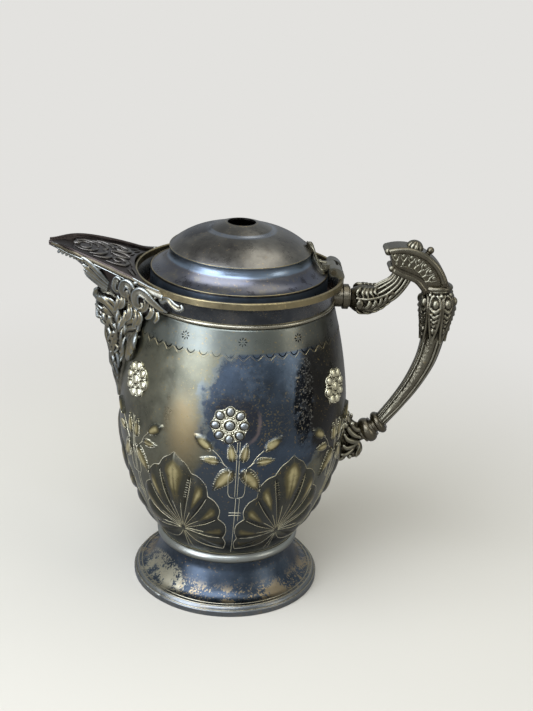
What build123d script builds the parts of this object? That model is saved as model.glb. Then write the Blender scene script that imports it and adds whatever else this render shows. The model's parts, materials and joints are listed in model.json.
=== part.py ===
"""A double-walled ice water pitcher in cast and spun metal, with a hinged lid, a spout and a cast handle.

The body stands on a flared foot. Its outer jacket and its inner liner leave an air gap that keeps the
ice. Water leaves through a sleeve under the lid's seat, into a cast trough that ends in a beak. A bearded
mask hides the trough's underside. Six rosettes are soldered to the jacket. The handle is cast in short
lengths: a leafy bulb with a fluted neck, an arched crest, a capital and a long fluted shaft. The lid is
hollow, and the hole at its top is where a finial was screwed on.

Millimetres. +Z is up, the spout points along -X and the handle along +X. The origin is the centre of the
foot, on the surface that the pitcher stands on. Sizes that belong to the rim, the spout, the lid or the
handle are written as steps from the piece that carries them, so that they follow it.
"""

import os
from math import cos, hypot, radians, sin, sqrt, tau

from build123d import *

# Foot
FOOT_RADIUS = 65.0
FOOT_RING_HEIGHT = 4.2
FOOT_RING_WIDTH = 6.0
FOOT_STEP_IN = 3.2
FOOT_STEP_RISE = 2.8
FOOT_STEP_WIDTH = 2.4
FOOT_NECK_RADIUS = 44.0
FOOT_SHEET = 1.4

# Waist: the half-round moulding between the foot and the jacket
WAIST_HEIGHT = 31.0
WAIST_BEAD_HEIGHT = 7.0
WAIST_BEAD_PROUD = 5.4
WAIST_JACKET_PROUD = 2.9
WAIST_WALL = 1.6

# Outer jacket: radius and height of the places that its outline runs through
LOWER_BELLY = (61.5, 61.5)
BELLY = (77.0, 128.0)
SHOULDER = (70.4, 180.5)
NECK_RADIUS = 63.4
NECK_HEIGHT = 208.0
SHEET = 1.2

# Neck bead, collar and rim, each a step out from the neck
NECK_BEAD_HEIGHT = 2.5
NECK_BEAD_PROUD = 1.3
NECK_BEAD_INSIDE = 2.9
COLLAR_FLARE = 4.6
COLLAR_HEIGHT = 11.8
COLLAR_HOLLOW = 0.9
RIM_INSIDE = 1.0
RIM_PROUD = 0.9
RIM_HEIGHT = 4.4
RIM_ROUND = 0.7

# Inner liner and the shelf over it that the lid sits on
NECK_AIR_GAP = 5.0
LINER_WALL = 1.2
LINER_FLOOR_RISE = 7.0
LINER_FLOOR_INSET = 6.9
LINER_KNEE_HEIGHT = 92.0
SEAT_OVERHANG = 4.4
SEAT_THICKNESS = 1.2
SOLDER_GAP = 0.05

# Sleeve through both walls, where the water leaves
SLEEVE_WIDTH = 40.0
SLEEVE_HEIGHT = 16.0
SLEEVE_DROP = 9.5
SLEEVE_WALL = 1.2
SLEEVE_INSIDE = 12.0

# Spout, from the body to the tip: distance out from the neck, half width, then edge and keel over the rim
SPOUT_OUTLINE = [
    (-5.4, 40.0, -1.1, -45.7),
    (6.6, 33.0, 2.7, -31.7),
    (18.6, 28.5, 6.9, -20.7),
    (30.6, 23.6, 10.5, -9.2),
    (42.6, 17.6, 13.3, 1.9),
    (52.6, 9.6, 14.3, 7.9),
    (60.8, 3.4, 14.6, 11.4),
]
SPOUT_WALL = 1.6
SPOUT_LIP_ROUND = 1.5
CHANNEL_TIP = 1.2
COVER_THICKNESS = 1.2
COVER_SUNK = 1.4
COVER_CROWN = 0.06
COVER_LENGTH = 44.6

# Mask under the spout: an oval head, placed out from the neck and down from the rim
FACE_OUT = 17.1
FACE_DROP = 27.2
FACE_TILT = 16.0
FACE_HEIGHT = 33.0
FACE_WIDTH = 25.0

# Beard: distance under the neck's height, half width, distance of the centre from the wall, half depth
BEARD_OUTLINE = [
    (14.0, 12.2, 9.1, 12.6),
    (28.0, 11.4, 2.5, 12.9),
    (44.0, 8.6, -0.6, 10.4),
    (59.0, 4.8, -1.7, 6.0),
    (72.0, 2.0, -1.6, 3.4),
]
BEARD_STRANDS = 6
BEARD_RIPPLE = 0.06
BEARD_WAVE = 4.0

# Scrolls on the spout's sides: ends out from the neck with their half widths, then the volutes along them
SCROLL_FRONT = (32.6, 21.0)
SCROLL_BACK = (-9.4, 43.5)
SCROLL_DROP = 2.2
SCROLL_VOLUTES = [(6.0, -1.0, 5.4), (16.5, -3.6, 6.8), (28.5, -7.6, 7.4)]
SCROLL_BACKING = 14.0
SCROLL_STEM = 5.0

# Rosettes: angle round the body from the front, and height over the belly's widest line
ROSETTE_PLACES = {
    "front": (-3.0, 20.0),
    "front_right": (60.0, 33.0),
    "back_right": (120.0, 33.0),
    "back": (180.0, 20.0),
    "back_left": (240.0, 33.0),
    "front_left": (300.0, 33.0),
}
ROSETTE_RADIUS = 12.4
ROSETTE_PROUD = 2.4
ROSETTE_LOBE_RADIUS = 1.6
ROSETTE_BEADS = 8
ROSETTE_BEAD_CIRCLE = 8.9
ROSETTE_BEAD_RADIUS = 2.2

# Upper arm: its start out from the neck and over it, then steps out and up from there with a radius
ARM_OUT = 10.6
ARM_RISE = 2.0
ARM_BULB = [(0.0, 0.0, 6.2), (5.0, -0.8, 9.6), (10.5, -1.2, 10.3), (17.0, 0.2, 9.2), (23.0, 3.6, 7.8)]
ARM_NECK = [(23.0, 3.6, 7.0), (28.5, 8.0, 6.3), (32.5, 13.0, 5.8), (35.0, 19.5, 5.6)]
SOCKET_RADIUS = 8.4
SOCKET_STEP_RADIUS = 7.0
SOCKET_LENGTH = 16.0
SOCKET_RING = 4.2
SOCKET_LIP = 0.8

# Crest of the handle, in steps from the arm's start
CREST_STEP = (32.0, 5.5)
CREST_OUTER = 32.3
CREST_LEFT_ANGLE = 107.0
CREST_RIGHT_ANGLE = 13.0
CREST_WIDTH = 12.0
CREST_CAP_WIDTH = 16.0
CREST_CAP_THICKNESS = 4.2
CREST_CAP_LEFT = 2.0
CREST_CAP_RIGHT = 3.0
CREST_CAP_LIFT = 0.8
CREST_ROLL_RADIUS = 2.3
CREST_ROLL_PROUD = 1.4
CREST_SOLE_STEPS = [(26.6, 22.6), (33.5, 19.2), (42.5, 15.8), (50.2, 7.2)]
CREST_TONGUES = 7
CREST_TONGUE_PROUD = 0.9
TONGUE_HEIGHT = 5.6
TONGUE_HALF_WIDTHS = (0.7, 1.7)
SLAB_STEP = (57.7, 9.6)
SLAB_TILT = 18.0
SLAB_SIZE = (16.0, 14.5, 3.0)
SLAB_CORNER = 3.0
DOME_ANGLE = 74.5
DOME_RADIUS = 5.4
DOME_HEIGHT = 4.6
KNOB_ANGLE = 56.5
KNOB_RADIUS = 2.45
BUTTON_SUNK = 0.6

# Capital and shaft. The shaft's stations are a share of its length, a bulge away from the body, and a radius
CAPITAL_STEPS = [
    (57.9, 9.4, 8.2),
    (58.6, 5.6, 9.4),
    (59.3, 1.0, 12.2),
    (59.8, -6.0, 12.4),
    (59.6, -16.0, 10.2),
    (58.6, -26.0, 8.6),
]
SHAFT_OUTLINE = [(0.0, 0.0, 7.9), (0.24, 4.2, 7.2), (0.5, 4.9, 6.2), (0.75, 3.1, 5.4), (1.0, 0.0, 4.9)]
FLUTES = 10
FLUTE_DEPTH = 0.11

# Beads and lower mount: distance out from the wall, distance under the belly's widest line, length and radius
BEAD_STEPS = [(25.6, 9.1, 5.0, 8.2), (18.4, 15.0, 8.6, 9.0)]
SHAFT_FOOT_STEP = (1.4, 1.7)
MOUNT_TOP_DROP = 1.0
MOUNT_FOOT_DROP = 39.0
MOUNT_HALF_WIDTH = 10.0
MOUNT_SUNK = 2.0

# Lid, in steps in from its edge and up from it
LID_GAP = 8.6
LID_SUNK = 0.1
LID_STEP = (10.2, 8.3)
LID_DOME_FOOT = (11.8, 15.0)
LID_DOME_MIDDLE = (21.9, 22.3)
LID_RING = (36.8, 27.4)
LID_CROWN_RISE = 32.0
LID_HOLE_RADIUS = 9.3
LID_SHEET = 1.2
LID_FLANGE_INSET = 0.2
LID_FLANGE_WALL = 1.2
LID_FLANGE_FLARE = 0.6
LID_PAN_SHEET = 1.0
PAN_DROP = 4.6
PAN_RISE = 3.0
SEAT_GAP = 0.3

# Hinge: its line outside the lid's edge and over the rim, then its leaf, pin and bracket
HINGE_OUT = 2.5
HINGE_RISE = 3.9
HINGE_WIDTH = 26.0
HINGE_BARREL_RADIUS = 3.1
HINGE_PIN_RADIUS = 1.25
HINGE_PIN_CLEARANCE = 0.05
HINGE_SIDE_GAP = 0.35
KNUCKLE_CLEARANCE = 0.5
PIN_HEAD = 0.7
PIN_HEAD_PROUD = 0.6
LEAF_LENGTH = 15.4
LEAF_HALF_WIDTH = 11.0
LEAF_SHOULDER = (10.9, 7.2)
LEAF_WIDEST = 4.5
LEAF_HEEL = (1.0, 5.5)
LEAF_REACH = 7.0
LEAF_THICKNESS = 2.2
BRACKET_INSET = 0.4
TONGUE_WALL = 1.4

# Places that follow from the sizes above
FOOT_STEP_RADIUS = FOOT_RADIUS - FOOT_STEP_IN
FOOT_STEP_HEIGHT = FOOT_RING_HEIGHT + FOOT_STEP_RISE
WAIST_RADIUS = FOOT_NECK_RADIUS + WAIST_JACKET_PROUD
WAIST_BEAD_RADIUS = FOOT_NECK_RADIUS + WAIST_BEAD_PROUD
WAIST_BORE = FOOT_NECK_RADIUS - WAIST_WALL
WAIST_TOP = WAIST_HEIGHT + WAIST_BEAD_HEIGHT
COLLAR_BASE = NECK_HEIGHT + NECK_BEAD_HEIGHT
COLLAR_TOP_RADIUS = NECK_RADIUS + COLLAR_FLARE
COLLAR_WAIST_RADIUS = (NECK_RADIUS + COLLAR_TOP_RADIUS) / 2 - COLLAR_HOLLOW
RIM_BASE = COLLAR_BASE + COLLAR_HEIGHT
RIM_TOP = RIM_BASE + RIM_HEIGHT
RIM_INNER_RADIUS = COLLAR_TOP_RADIUS - RIM_INSIDE
RIM_OUTER_RADIUS = COLLAR_TOP_RADIUS + RIM_PROUD
LINER_RADIUS = min(NECK_RADIUS, SHOULDER[0]) - NECK_AIR_GAP
LINER_FLOOR_HEIGHT = WAIST_TOP + LINER_FLOOR_RISE
LINER_FLOOR_RADIUS = WAIST_RADIUS - LINER_FLOOR_INSET
LID_RADIUS = RIM_INNER_RADIUS - LID_GAP
SEAT_INNER_RADIUS = min(LID_RADIUS, LINER_RADIUS) - SEAT_OVERHANG
SEAT_TOP = COLLAR_BASE + SEAT_THICKNESS
LID_EDGE_HEIGHT = RIM_TOP - LID_SUNK
HINGE_X = LID_RADIUS + HINGE_OUT
HINGE_HEIGHT = RIM_TOP + HINGE_RISE

os.makedirs("parts", exist_ok=True)


def save(builder, name):
    """Labels a finished piece and writes it as one STEP file of that name."""
    builder.part.label = name
    export_step(builder.part, f"parts/{name}.step")


def jacket_points(inset=0.0):
    """The jacket's outline from the waist to the neck, moved in towards the axis by inset."""
    return [
        (WAIST_RADIUS - inset, WAIST_TOP),
        (LOWER_BELLY[0] - inset, LOWER_BELLY[1] + 0.3 * inset),
        (BELLY[0] - inset, BELLY[1]),
        (SHOULDER[0] - inset, SHOULDER[1]),
        (NECK_RADIUS - inset, NECK_HEIGHT),
    ]


JACKET_LINE = Spline([(radius, 0, height) for radius, height in jacket_points()])


def jacket_radius(height):
    """The jacket's outside radius at a height, read from its outline."""
    cut = JACKET_LINE.intersect(Axis((0, 0, height), (1, 0, 0)))
    return cut.X if hasattr(cut, "X") else cut[0].X


# The whole outside of the body as one solid of revolution: what is soldered on is trimmed to it
with BuildPart() as body_envelope:
    with BuildSketch(Plane.XZ):
        with BuildLine():
            jacket_side = Spline(jacket_points())
            bead_side = ThreePointArc(
                jacket_side @ 1,
                (NECK_RADIUS + NECK_BEAD_PROUD, NECK_HEIGHT + NECK_BEAD_HEIGHT / 2),
                (NECK_RADIUS, COLLAR_BASE),
            )
            collar_side = ThreePointArc(
                bead_side @ 1,
                (COLLAR_WAIST_RADIUS, COLLAR_BASE + COLLAR_HEIGHT / 2),
                (COLLAR_TOP_RADIUS, RIM_BASE),
            )
            rim_step = Line(collar_side @ 1, (RIM_OUTER_RADIUS, RIM_BASE))
            rim_side = Line(rim_step @ 1, (RIM_OUTER_RADIUS, RIM_TOP + RIM_HEIGHT))
            rim_top = Line(rim_side @ 1, (0, RIM_TOP + RIM_HEIGHT))
            axis_side = Line(rim_top @ 1, (0, WAIST_TOP))
            Line(axis_side @ 1, jacket_side @ 0)
        make_face()
    revolve(axis=Axis.Z)
ENVELOPE = body_envelope.part

# Sleeve's outline, which also cuts the window in both walls
SLEEVE_CENTRE_HEIGHT = NECK_HEIGHT - SLEEVE_DROP
SLEEVE_PLANE = Plane(
    origin=(SLEEVE_INSIDE - LINER_RADIUS, 0, SLEEVE_CENTRE_HEIGHT),
    x_dir=(0, -1, 0),
    z_dir=(-1, 0, 0),
)
SLEEVE_REACH = 2 * SLEEVE_INSIDE + NECK_AIR_GAP + 1
SLEEVE_ROUND = SLEEVE_HEIGHT / 2 - 1
with BuildPart() as sleeve_window:
    with BuildSketch(SLEEVE_PLANE):
        RectangleRounded(SLEEVE_WIDTH, SLEEVE_HEIGHT, SLEEVE_ROUND)
    extrude(amount=SLEEVE_REACH)
WINDOW = sleeve_window.part

# Foot ring: a vertical edge with a small roll above it
FLARE_FOOT_RADIUS = FOOT_STEP_RADIUS - FOOT_STEP_WIDTH
with BuildPart() as foot_ring:
    with BuildSketch(Plane.XZ):
        with BuildLine():
            ring_foot = Line((FOOT_RADIUS - FOOT_RING_WIDTH, 0), (FOOT_RADIUS - 0.4, 0))
            ring_side = Line((FOOT_RADIUS, 0.4), (FOOT_RADIUS, FOOT_RING_HEIGHT - 0.8))
            Line(ring_foot @ 1, ring_side @ 0)
            ring_shoulder = ThreePointArc(
                ring_side @ 1,
                (FOOT_RADIUS - 0.3, FOOT_RING_HEIGHT - 0.2),
                (FOOT_RADIUS - 1.2, FOOT_RING_HEIGHT),
            )
            ring_roll = ThreePointArc(
                ring_shoulder @ 1,
                (FOOT_STEP_RADIUS + 0.9, FOOT_STEP_HEIGHT - 0.8),
                (FOOT_STEP_RADIUS - 0.8, FOOT_STEP_HEIGHT),
            )
            ring_top = Line(ring_roll @ 1, (FLARE_FOOT_RADIUS, FOOT_STEP_HEIGHT))
            ring_back = Line(ring_top @ 1, (FLARE_FOOT_RADIUS, FOOT_RING_HEIGHT))
            ring_under = Line(ring_back @ 1, (FOOT_RADIUS - FOOT_RING_WIDTH, FOOT_RING_HEIGHT))
            Line(ring_under @ 1, ring_foot @ 0)
        make_face()
    revolve(axis=Axis.Z)
save(foot_ring, "foot_ring")

# Flared foot: a spun cavetto from the ring up to the waist, open underneath
with BuildPart() as foot_flare:
    with BuildSketch(Plane.XZ):
        with BuildLine():
            flare_edge = Line((FLARE_FOOT_RADIUS, FOOT_RING_HEIGHT), (FLARE_FOOT_RADIUS, FOOT_STEP_HEIGHT))
            flare_out = Spline(
                [
                    flare_edge @ 1,
                    (FLARE_FOOT_RADIUS - 6.6, FOOT_STEP_HEIGHT + 3.6),
                    (FOOT_NECK_RADIUS + 3.4, WAIST_HEIGHT - 11),
                    (FOOT_NECK_RADIUS + 1.2, WAIST_HEIGHT),
                ],
                tangents=[(-1, 0.12), (0.05, 1)],
            )
            flare_top = Line(flare_out @ 1, (FOOT_NECK_RADIUS + 1.2 - FOOT_SHEET, WAIST_HEIGHT))
            flare_in = Spline(
                [
                    flare_top @ 1,
                    (FOOT_NECK_RADIUS + 3.4 - FOOT_SHEET, WAIST_HEIGHT - 11.4),
                    (FLARE_FOOT_RADIUS - 7.4, FOOT_STEP_HEIGHT + 2.4),
                    (FLARE_FOOT_RADIUS - FOOT_SHEET, FOOT_RING_HEIGHT),
                ],
                tangents=[(-0.05, -1), (0.6, -1)],
            )
            Line(flare_in @ 1, flare_edge @ 0)
        make_face()
    revolve(axis=Axis.Z)
save(foot_flare, "foot_flare")

# Waist bead: the half-round moulding that joins the foot to the jacket
with BuildPart() as waist_bead:
    with BuildSketch(Plane.XZ):
        with BuildLine():
            waist_under = Line((WAIST_BORE, WAIST_HEIGHT), (WAIST_BEAD_RADIUS - 2.6, WAIST_HEIGHT))
            waist_round = ThreePointArc(
                waist_under @ 1,
                (WAIST_BEAD_RADIUS, WAIST_HEIGHT + 0.46 * WAIST_BEAD_HEIGHT),
                (WAIST_BEAD_RADIUS - 1.6, WAIST_TOP - 0.6),
            )
            waist_lip = Line(waist_round @ 1, (WAIST_BEAD_RADIUS - 1.6, WAIST_TOP))
            waist_top = Line(waist_lip @ 1, (WAIST_BORE, WAIST_TOP))
            Line(waist_top @ 1, waist_under @ 0)
        make_face()
    revolve(axis=Axis.Z)
save(waist_bead, "waist_bead")

# Base plate: closes the air gap under the liner, and shows inside the hollow foot
with BuildPart() as base_plate:
    with BuildSketch(Plane.XY.offset(WAIST_HEIGHT)):
        Circle(WAIST_BORE)
    extrude(amount=SHEET)
    with BuildSketch(Plane.XY.offset(WAIST_HEIGHT)):
        Circle(FOOT_NECK_RADIUS - 8)
        Circle(FOOT_NECK_RADIUS - 9.2, mode=Mode.SUBTRACT)
    extrude(amount=-0.8)
save(base_plate, "base_plate")

# Outer jacket: one spun wall, with the sleeve's window under the spout
with BuildPart() as outer_jacket:
    with BuildSketch(Plane.XZ):
        with BuildLine():
            wall_out = Spline(jacket_points())
            wall_in = Spline(jacket_points(SHEET))
            Line(wall_out @ 0, wall_in @ 0)
            Line(wall_out @ 1, wall_in @ 1)
        make_face()
    revolve(axis=Axis.Z)
    add(WINDOW, mode=Mode.SUBTRACT)
save(outer_jacket, "outer_jacket")

# Neck bead: the half-round between the jacket and the collar, with a ledge inside for the lid's seat
with BuildPart() as neck_bead:
    with BuildSketch(Plane.XZ):
        with BuildLine():
            bead_under = Line((NECK_RADIUS - NECK_BEAD_INSIDE, NECK_HEIGHT), (NECK_RADIUS, NECK_HEIGHT))
            bead_round = ThreePointArc(
                bead_under @ 1,
                (NECK_RADIUS + NECK_BEAD_PROUD, NECK_HEIGHT + NECK_BEAD_HEIGHT / 2),
                (NECK_RADIUS, COLLAR_BASE),
            )
            bead_top = Line(bead_round @ 1, (NECK_RADIUS - NECK_BEAD_INSIDE, COLLAR_BASE))
            Line(bead_top @ 1, bead_under @ 0)
        make_face()
    revolve(axis=Axis.Z)
save(neck_bead, "neck_bead")

# Collar: a hollow-sided band that opens upwards
with BuildPart() as collar:
    with BuildSketch(Plane.XZ):
        with BuildLine():
            collar_out = ThreePointArc(
                (NECK_RADIUS, COLLAR_BASE),
                (COLLAR_WAIST_RADIUS, COLLAR_BASE + COLLAR_HEIGHT / 2),
                (COLLAR_TOP_RADIUS, RIM_BASE),
            )
            collar_in = ThreePointArc(
                (NECK_RADIUS - SHEET, COLLAR_BASE),
                (COLLAR_WAIST_RADIUS - SHEET, COLLAR_BASE + COLLAR_HEIGHT / 2),
                (COLLAR_TOP_RADIUS - SHEET, RIM_BASE),
            )
            Line(collar_out @ 0, collar_in @ 0)
            Line(collar_out @ 1, collar_in @ 1)
        make_face()
    revolve(axis=Axis.Z)
save(collar, "collar")

# Rim band: the flat brass-coloured edge round the mouth
with BuildPart() as rim_band:
    with BuildSketch(Plane.XZ):
        with Locations(((RIM_INNER_RADIUS + RIM_OUTER_RADIUS) / 2, RIM_BASE + RIM_HEIGHT / 2)):
            Rectangle(RIM_OUTER_RADIUS - RIM_INNER_RADIUS, RIM_HEIGHT)
    revolve(axis=Axis.Z)
    fillet(rim_band.edges().group_by(Axis.Z)[-1], RIM_ROUND)
save(rim_band, "rim_band")

# Lid seat: the flat shelf inside the collar, which also closes the air gap over the liner
with BuildPart() as lid_seat:
    with BuildSketch(Plane.XY.offset(COLLAR_BASE)):
        Circle(NECK_RADIUS - SHEET - SOLDER_GAP)
        Circle(SEAT_INNER_RADIUS, mode=Mode.SUBTRACT)
    extrude(amount=SEAT_THICKNESS)
save(lid_seat, "lid_seat")


def liner_outline(inset=0.0):
    """Half of the liner's outline: flat floor, rounded knee and straight wall, moved in by inset."""
    return [
        (0, LINER_FLOOR_HEIGHT + inset),
        (LINER_FLOOR_RADIUS, LINER_FLOOR_HEIGHT + inset),
        (LINER_RADIUS - inset, LINER_KNEE_HEIGHT),
        (LINER_RADIUS - inset, COLLAR_BASE),
    ]


# Liner: the vessel that holds the ice and water
with BuildPart() as inner_liner:
    for inset, mode in ((0.0, Mode.ADD), (LINER_WALL, Mode.SUBTRACT)):
        floor_centre, floor_edge, knee, mouth = liner_outline(inset)
        with BuildSketch(Plane.XZ):
            with BuildLine():
                Line(floor_centre, floor_edge)
                Spline([floor_edge, knee], tangents=[(1, 0.15), (0, 1)])
                Line(knee, mouth)
                Line(mouth, (0, mouth[1]))
                Line((0, mouth[1]), floor_centre)
            make_face()
        revolve(axis=Axis.Z, mode=mode)
    add(WINDOW, mode=Mode.SUBTRACT)
save(inner_liner, "inner_liner")

# Pouring sleeve: an oval tube from the liner to the spout, soldered to both walls
with BuildPart() as pouring_sleeve:
    with BuildSketch(SLEEVE_PLANE):
        RectangleRounded(SLEEVE_WIDTH, SLEEVE_HEIGHT, SLEEVE_ROUND)
        RectangleRounded(
            SLEEVE_WIDTH - 2 * SLEEVE_WALL,
            SLEEVE_HEIGHT - 2 * SLEEVE_WALL,
            SLEEVE_ROUND - SLEEVE_WALL,
            mode=Mode.SUBTRACT,
        )
    extrude(amount=SLEEVE_REACH)
    add(ENVELOPE, mode=Mode.INTERSECT)
    with BuildSketch(Plane.XY.offset(SLEEVE_CENTRE_HEIGHT - SLEEVE_HEIGHT)):
        Circle(LINER_RADIUS - LINER_WALL)
    extrude(amount=2 * SLEEVE_HEIGHT, mode=Mode.SUBTRACT)
save(pouring_sleeve, "pouring_sleeve")


def across(distance):
    """An upright plane across the spout, that far from the axis, with its own y upwards."""
    return Plane(origin=(-distance, 0, 0), x_dir=(0, -1, 0), z_dir=(-1, 0, 0))


def trough_section(distance, half_width, edge, keel, riser=0.0):
    """A bowl-shaped section: sides that curve down to the keel, with its flat top raised by riser."""
    depth = edge - keel
    with BuildSketch(across(distance)) as section:
        with BuildLine():
            bowl = Spline(
                [
                    (half_width, edge),
                    (0.9 * half_width, edge - 0.38 * depth),
                    (0.5 * half_width, keel + 0.2 * depth),
                    (0, keel),
                    (-0.5 * half_width, keel + 0.2 * depth),
                    (-0.9 * half_width, edge - 0.38 * depth),
                    (-half_width, edge),
                ]
            )
            if riser:
                Polyline(bowl @ 1, (-half_width, edge + riser), (half_width, edge + riser), bowl @ 0)
            else:
                Line(bowl @ 1, bowl @ 0)
        make_face()
    return section.sketch


SPOUT_STATIONS = [
    (NECK_RADIUS + out, half_width, RIM_TOP + edge, RIM_TOP + keel)
    for out, half_width, edge, keel in SPOUT_OUTLINE
]

# The spout's outside as a solid, for what is fitted to it
outside_sections = [trough_section(*station) for station in SPOUT_STATIONS]
with BuildPart() as spout_envelope:
    loft(sections=outside_sections)
SPOUT_OUTSIDE = spout_envelope.part

# The water's way: it runs out through the open top, past the tip of the beak
channel_sections = [
    trough_section(
        distance,
        max(half_width - SPOUT_WALL, CHANNEL_TIP),
        edge,
        min(keel + SPOUT_WALL, edge - CHANNEL_TIP),
        riser=4 * SPOUT_LIP_ROUND,
    )
    for distance, half_width, edge, keel in SPOUT_STATIONS
]
with BuildPart() as spout_channel:
    loft(sections=channel_sections)

# Trough: the cast beak, with a round moulding along its edge and a finer one under it
with BuildPart() as spout_trough:
    add(SPOUT_OUTSIDE)
    for side in (-1, 1):
        for drop, lip_radius, inset in ((0.4, SPOUT_LIP_ROUND, 0.2), (3.4, 0.6 * SPOUT_LIP_ROUND, 0.5)):
            for distance, half_width, edge, keel in SPOUT_STATIONS:
                shrink = min(1.0, 0.4 + half_width / 20)
                with BuildSketch(across(distance)):
                    with Locations((side * (half_width - inset), edge - drop * shrink)):
                        Circle(lip_radius * shrink)
            loft()
    add(spout_channel.part, mode=Mode.SUBTRACT)
    add(ENVELOPE, mode=Mode.SUBTRACT)
save(spout_trough, "spout_trough")

# Cover: a crowned plate let in between the trough's edges, from the rim to the open end of the beak
with BuildPart() as spout_cover:
    for distance, half_width, edge, keel in SPOUT_STATIONS[:-1]:
        with BuildSketch(across(distance)):
            with BuildLine():
                reach = half_width - 0.3
                crown = COVER_CROWN * half_width
                cover_top = ThreePointArc(
                    (-reach, edge - COVER_SUNK), (0, edge - COVER_SUNK + crown), (reach, edge - COVER_SUNK)
                )
                cover_under = ThreePointArc(
                    (-reach, edge - COVER_SUNK - COVER_THICKNESS),
                    (0, edge - COVER_SUNK - COVER_THICKNESS + crown),
                    (reach, edge - COVER_SUNK - COVER_THICKNESS),
                )
                Line(cover_top @ 0, cover_under @ 0)
                Line(cover_top @ 1, cover_under @ 1)
            make_face()
    loft()
    add(spout_channel.part, mode=Mode.INTERSECT)
    add(ENVELOPE, mode=Mode.SUBTRACT)
    split(bisect_by=Plane(origin=(-NECK_RADIUS - COVER_LENGTH, 0, 0), z_dir=(1, 0, 0)), keep=Keep.TOP)
save(spout_cover, "spout_cover")

# Mask: a plain oval head under the spout. The face's parts stand at the usual shares of its height
FACE_HALF = FACE_HEIGHT / 2
FACE_RADIUS = FACE_WIDTH / 2
face_turn = radians(FACE_TILT)
FACE_PLANE = Plane(
    origin=(-NECK_RADIUS - FACE_OUT, 0, RIM_TOP - FACE_DROP),
    x_dir=(-cos(face_turn), 0, -sin(face_turn)),
    z_dir=(0, 1, 0),
)


def face_depth(height, aside=0.0):
    """How far the oval's surface stands out at a height above the eye line, and aside from the middle."""
    share = 1 - (height / FACE_HALF) ** 2 - (aside / FACE_RADIUS) ** 2
    return FACE_RADIUS * sqrt(max(share, 0.0))


BROW_HEIGHT = 0.13 * FACE_HALF
NOSE_HEIGHT = -0.42 * FACE_HALF
MOUTH_HEIGHT = -0.62 * FACE_HALF
EYE_ASIDE = 0.42 * FACE_RADIUS
EYE_RADIUS = 0.17 * FACE_RADIUS
NOSE_PROUD = 0.26 * FACE_RADIUS
brow_depth = face_depth(BROW_HEIGHT, EYE_ASIDE) - 0.5

with BuildPart() as spout_mask:
    with BuildSketch(FACE_PLANE):
        Ellipse(FACE_RADIUS, FACE_HALF)
        with Locations((-FACE_RADIUS, 0)):
            Rectangle(2 * FACE_RADIUS, 2 * FACE_HALF, mode=Mode.SUBTRACT)
    revolve(axis=Axis(FACE_PLANE.origin, FACE_PLANE.y_dir))
    with BuildSketch(FACE_PLANE):
        with BuildLine():
            Polyline(
                (face_depth(BROW_HEIGHT) - 1, BROW_HEIGHT),
                (face_depth(NOSE_HEIGHT) + NOSE_PROUD, NOSE_HEIGHT + 0.8),
                (face_depth(NOSE_HEIGHT) + 0.6 * NOSE_PROUD, NOSE_HEIGHT - 0.6),
                (face_depth(NOSE_HEIGHT) - 1, NOSE_HEIGHT - 0.6),
                close=True,
            )
        make_face()
    extrude(amount=0.14 * FACE_RADIUS, both=True)
    for side in (-1, 1):
        with Locations(FACE_PLANE * Pos(face_depth(0, EYE_ASIDE) - 0.7, 0, side * EYE_ASIDE)):
            Sphere(EYE_RADIUS)
        with Locations(FACE_PLANE * Pos(brow_depth, BROW_HEIGHT + 1.5, side * EYE_ASIDE)):
            Cylinder(0.1 * FACE_RADIUS, 0.5 * FACE_RADIUS)
    for lip_height in (MOUTH_HEIGHT + 0.7, MOUTH_HEIGHT - 0.7):
        with Locations(FACE_PLANE * Pos(face_depth(lip_height) - 0.3, lip_height, 0)):
            Cylinder(0.07 * FACE_RADIUS, 0.5 * FACE_RADIUS)
    add(SPOUT_OUTSIDE, mode=Mode.SUBTRACT)
    add(spout_trough.part, mode=Mode.SUBTRACT)
    add(ENVELOPE, mode=Mode.SUBTRACT)
save(spout_mask, "spout_mask")


def beard_section(height, half_width, centre, half_depth, phase):
    """A rippled oval: one ripple for each lock, moved round by phase so that the locks wave."""
    count = 4 * BEARD_STRANDS
    points = []
    for step in range(count):
        swell = 1 + BEARD_RIPPLE * (1 if step % 2 else -1)
        turn = tau * step / count + phase
        points.append((swell * half_depth * cos(turn), swell * half_width * sin(turn)))
    with BuildSketch(Plane(origin=(-centre, 0, height))) as section:
        with BuildLine():
            Spline(points, periodic=True)
        make_face()
    return section.sketch


# Beard: long waved locks that narrow to a point on the jacket
beard_sections = []
for number, (drop, half_width, out, half_depth) in enumerate(BEARD_OUTLINE):
    height = NECK_HEIGHT - drop
    phase = radians(BEARD_WAVE) * (-1) ** number
    beard_sections.append(beard_section(height, half_width, jacket_radius(height) + out, half_depth, phase))
with BuildPart() as mask_beard:
    loft(sections=beard_sections)
    add(spout_mask.part, mode=Mode.SUBTRACT)
    add(SPOUT_OUTSIDE, mode=Mode.SUBTRACT)
    add(ENVELOPE, mode=Mode.SUBTRACT)
save(mask_beard, "mask_beard")

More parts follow.
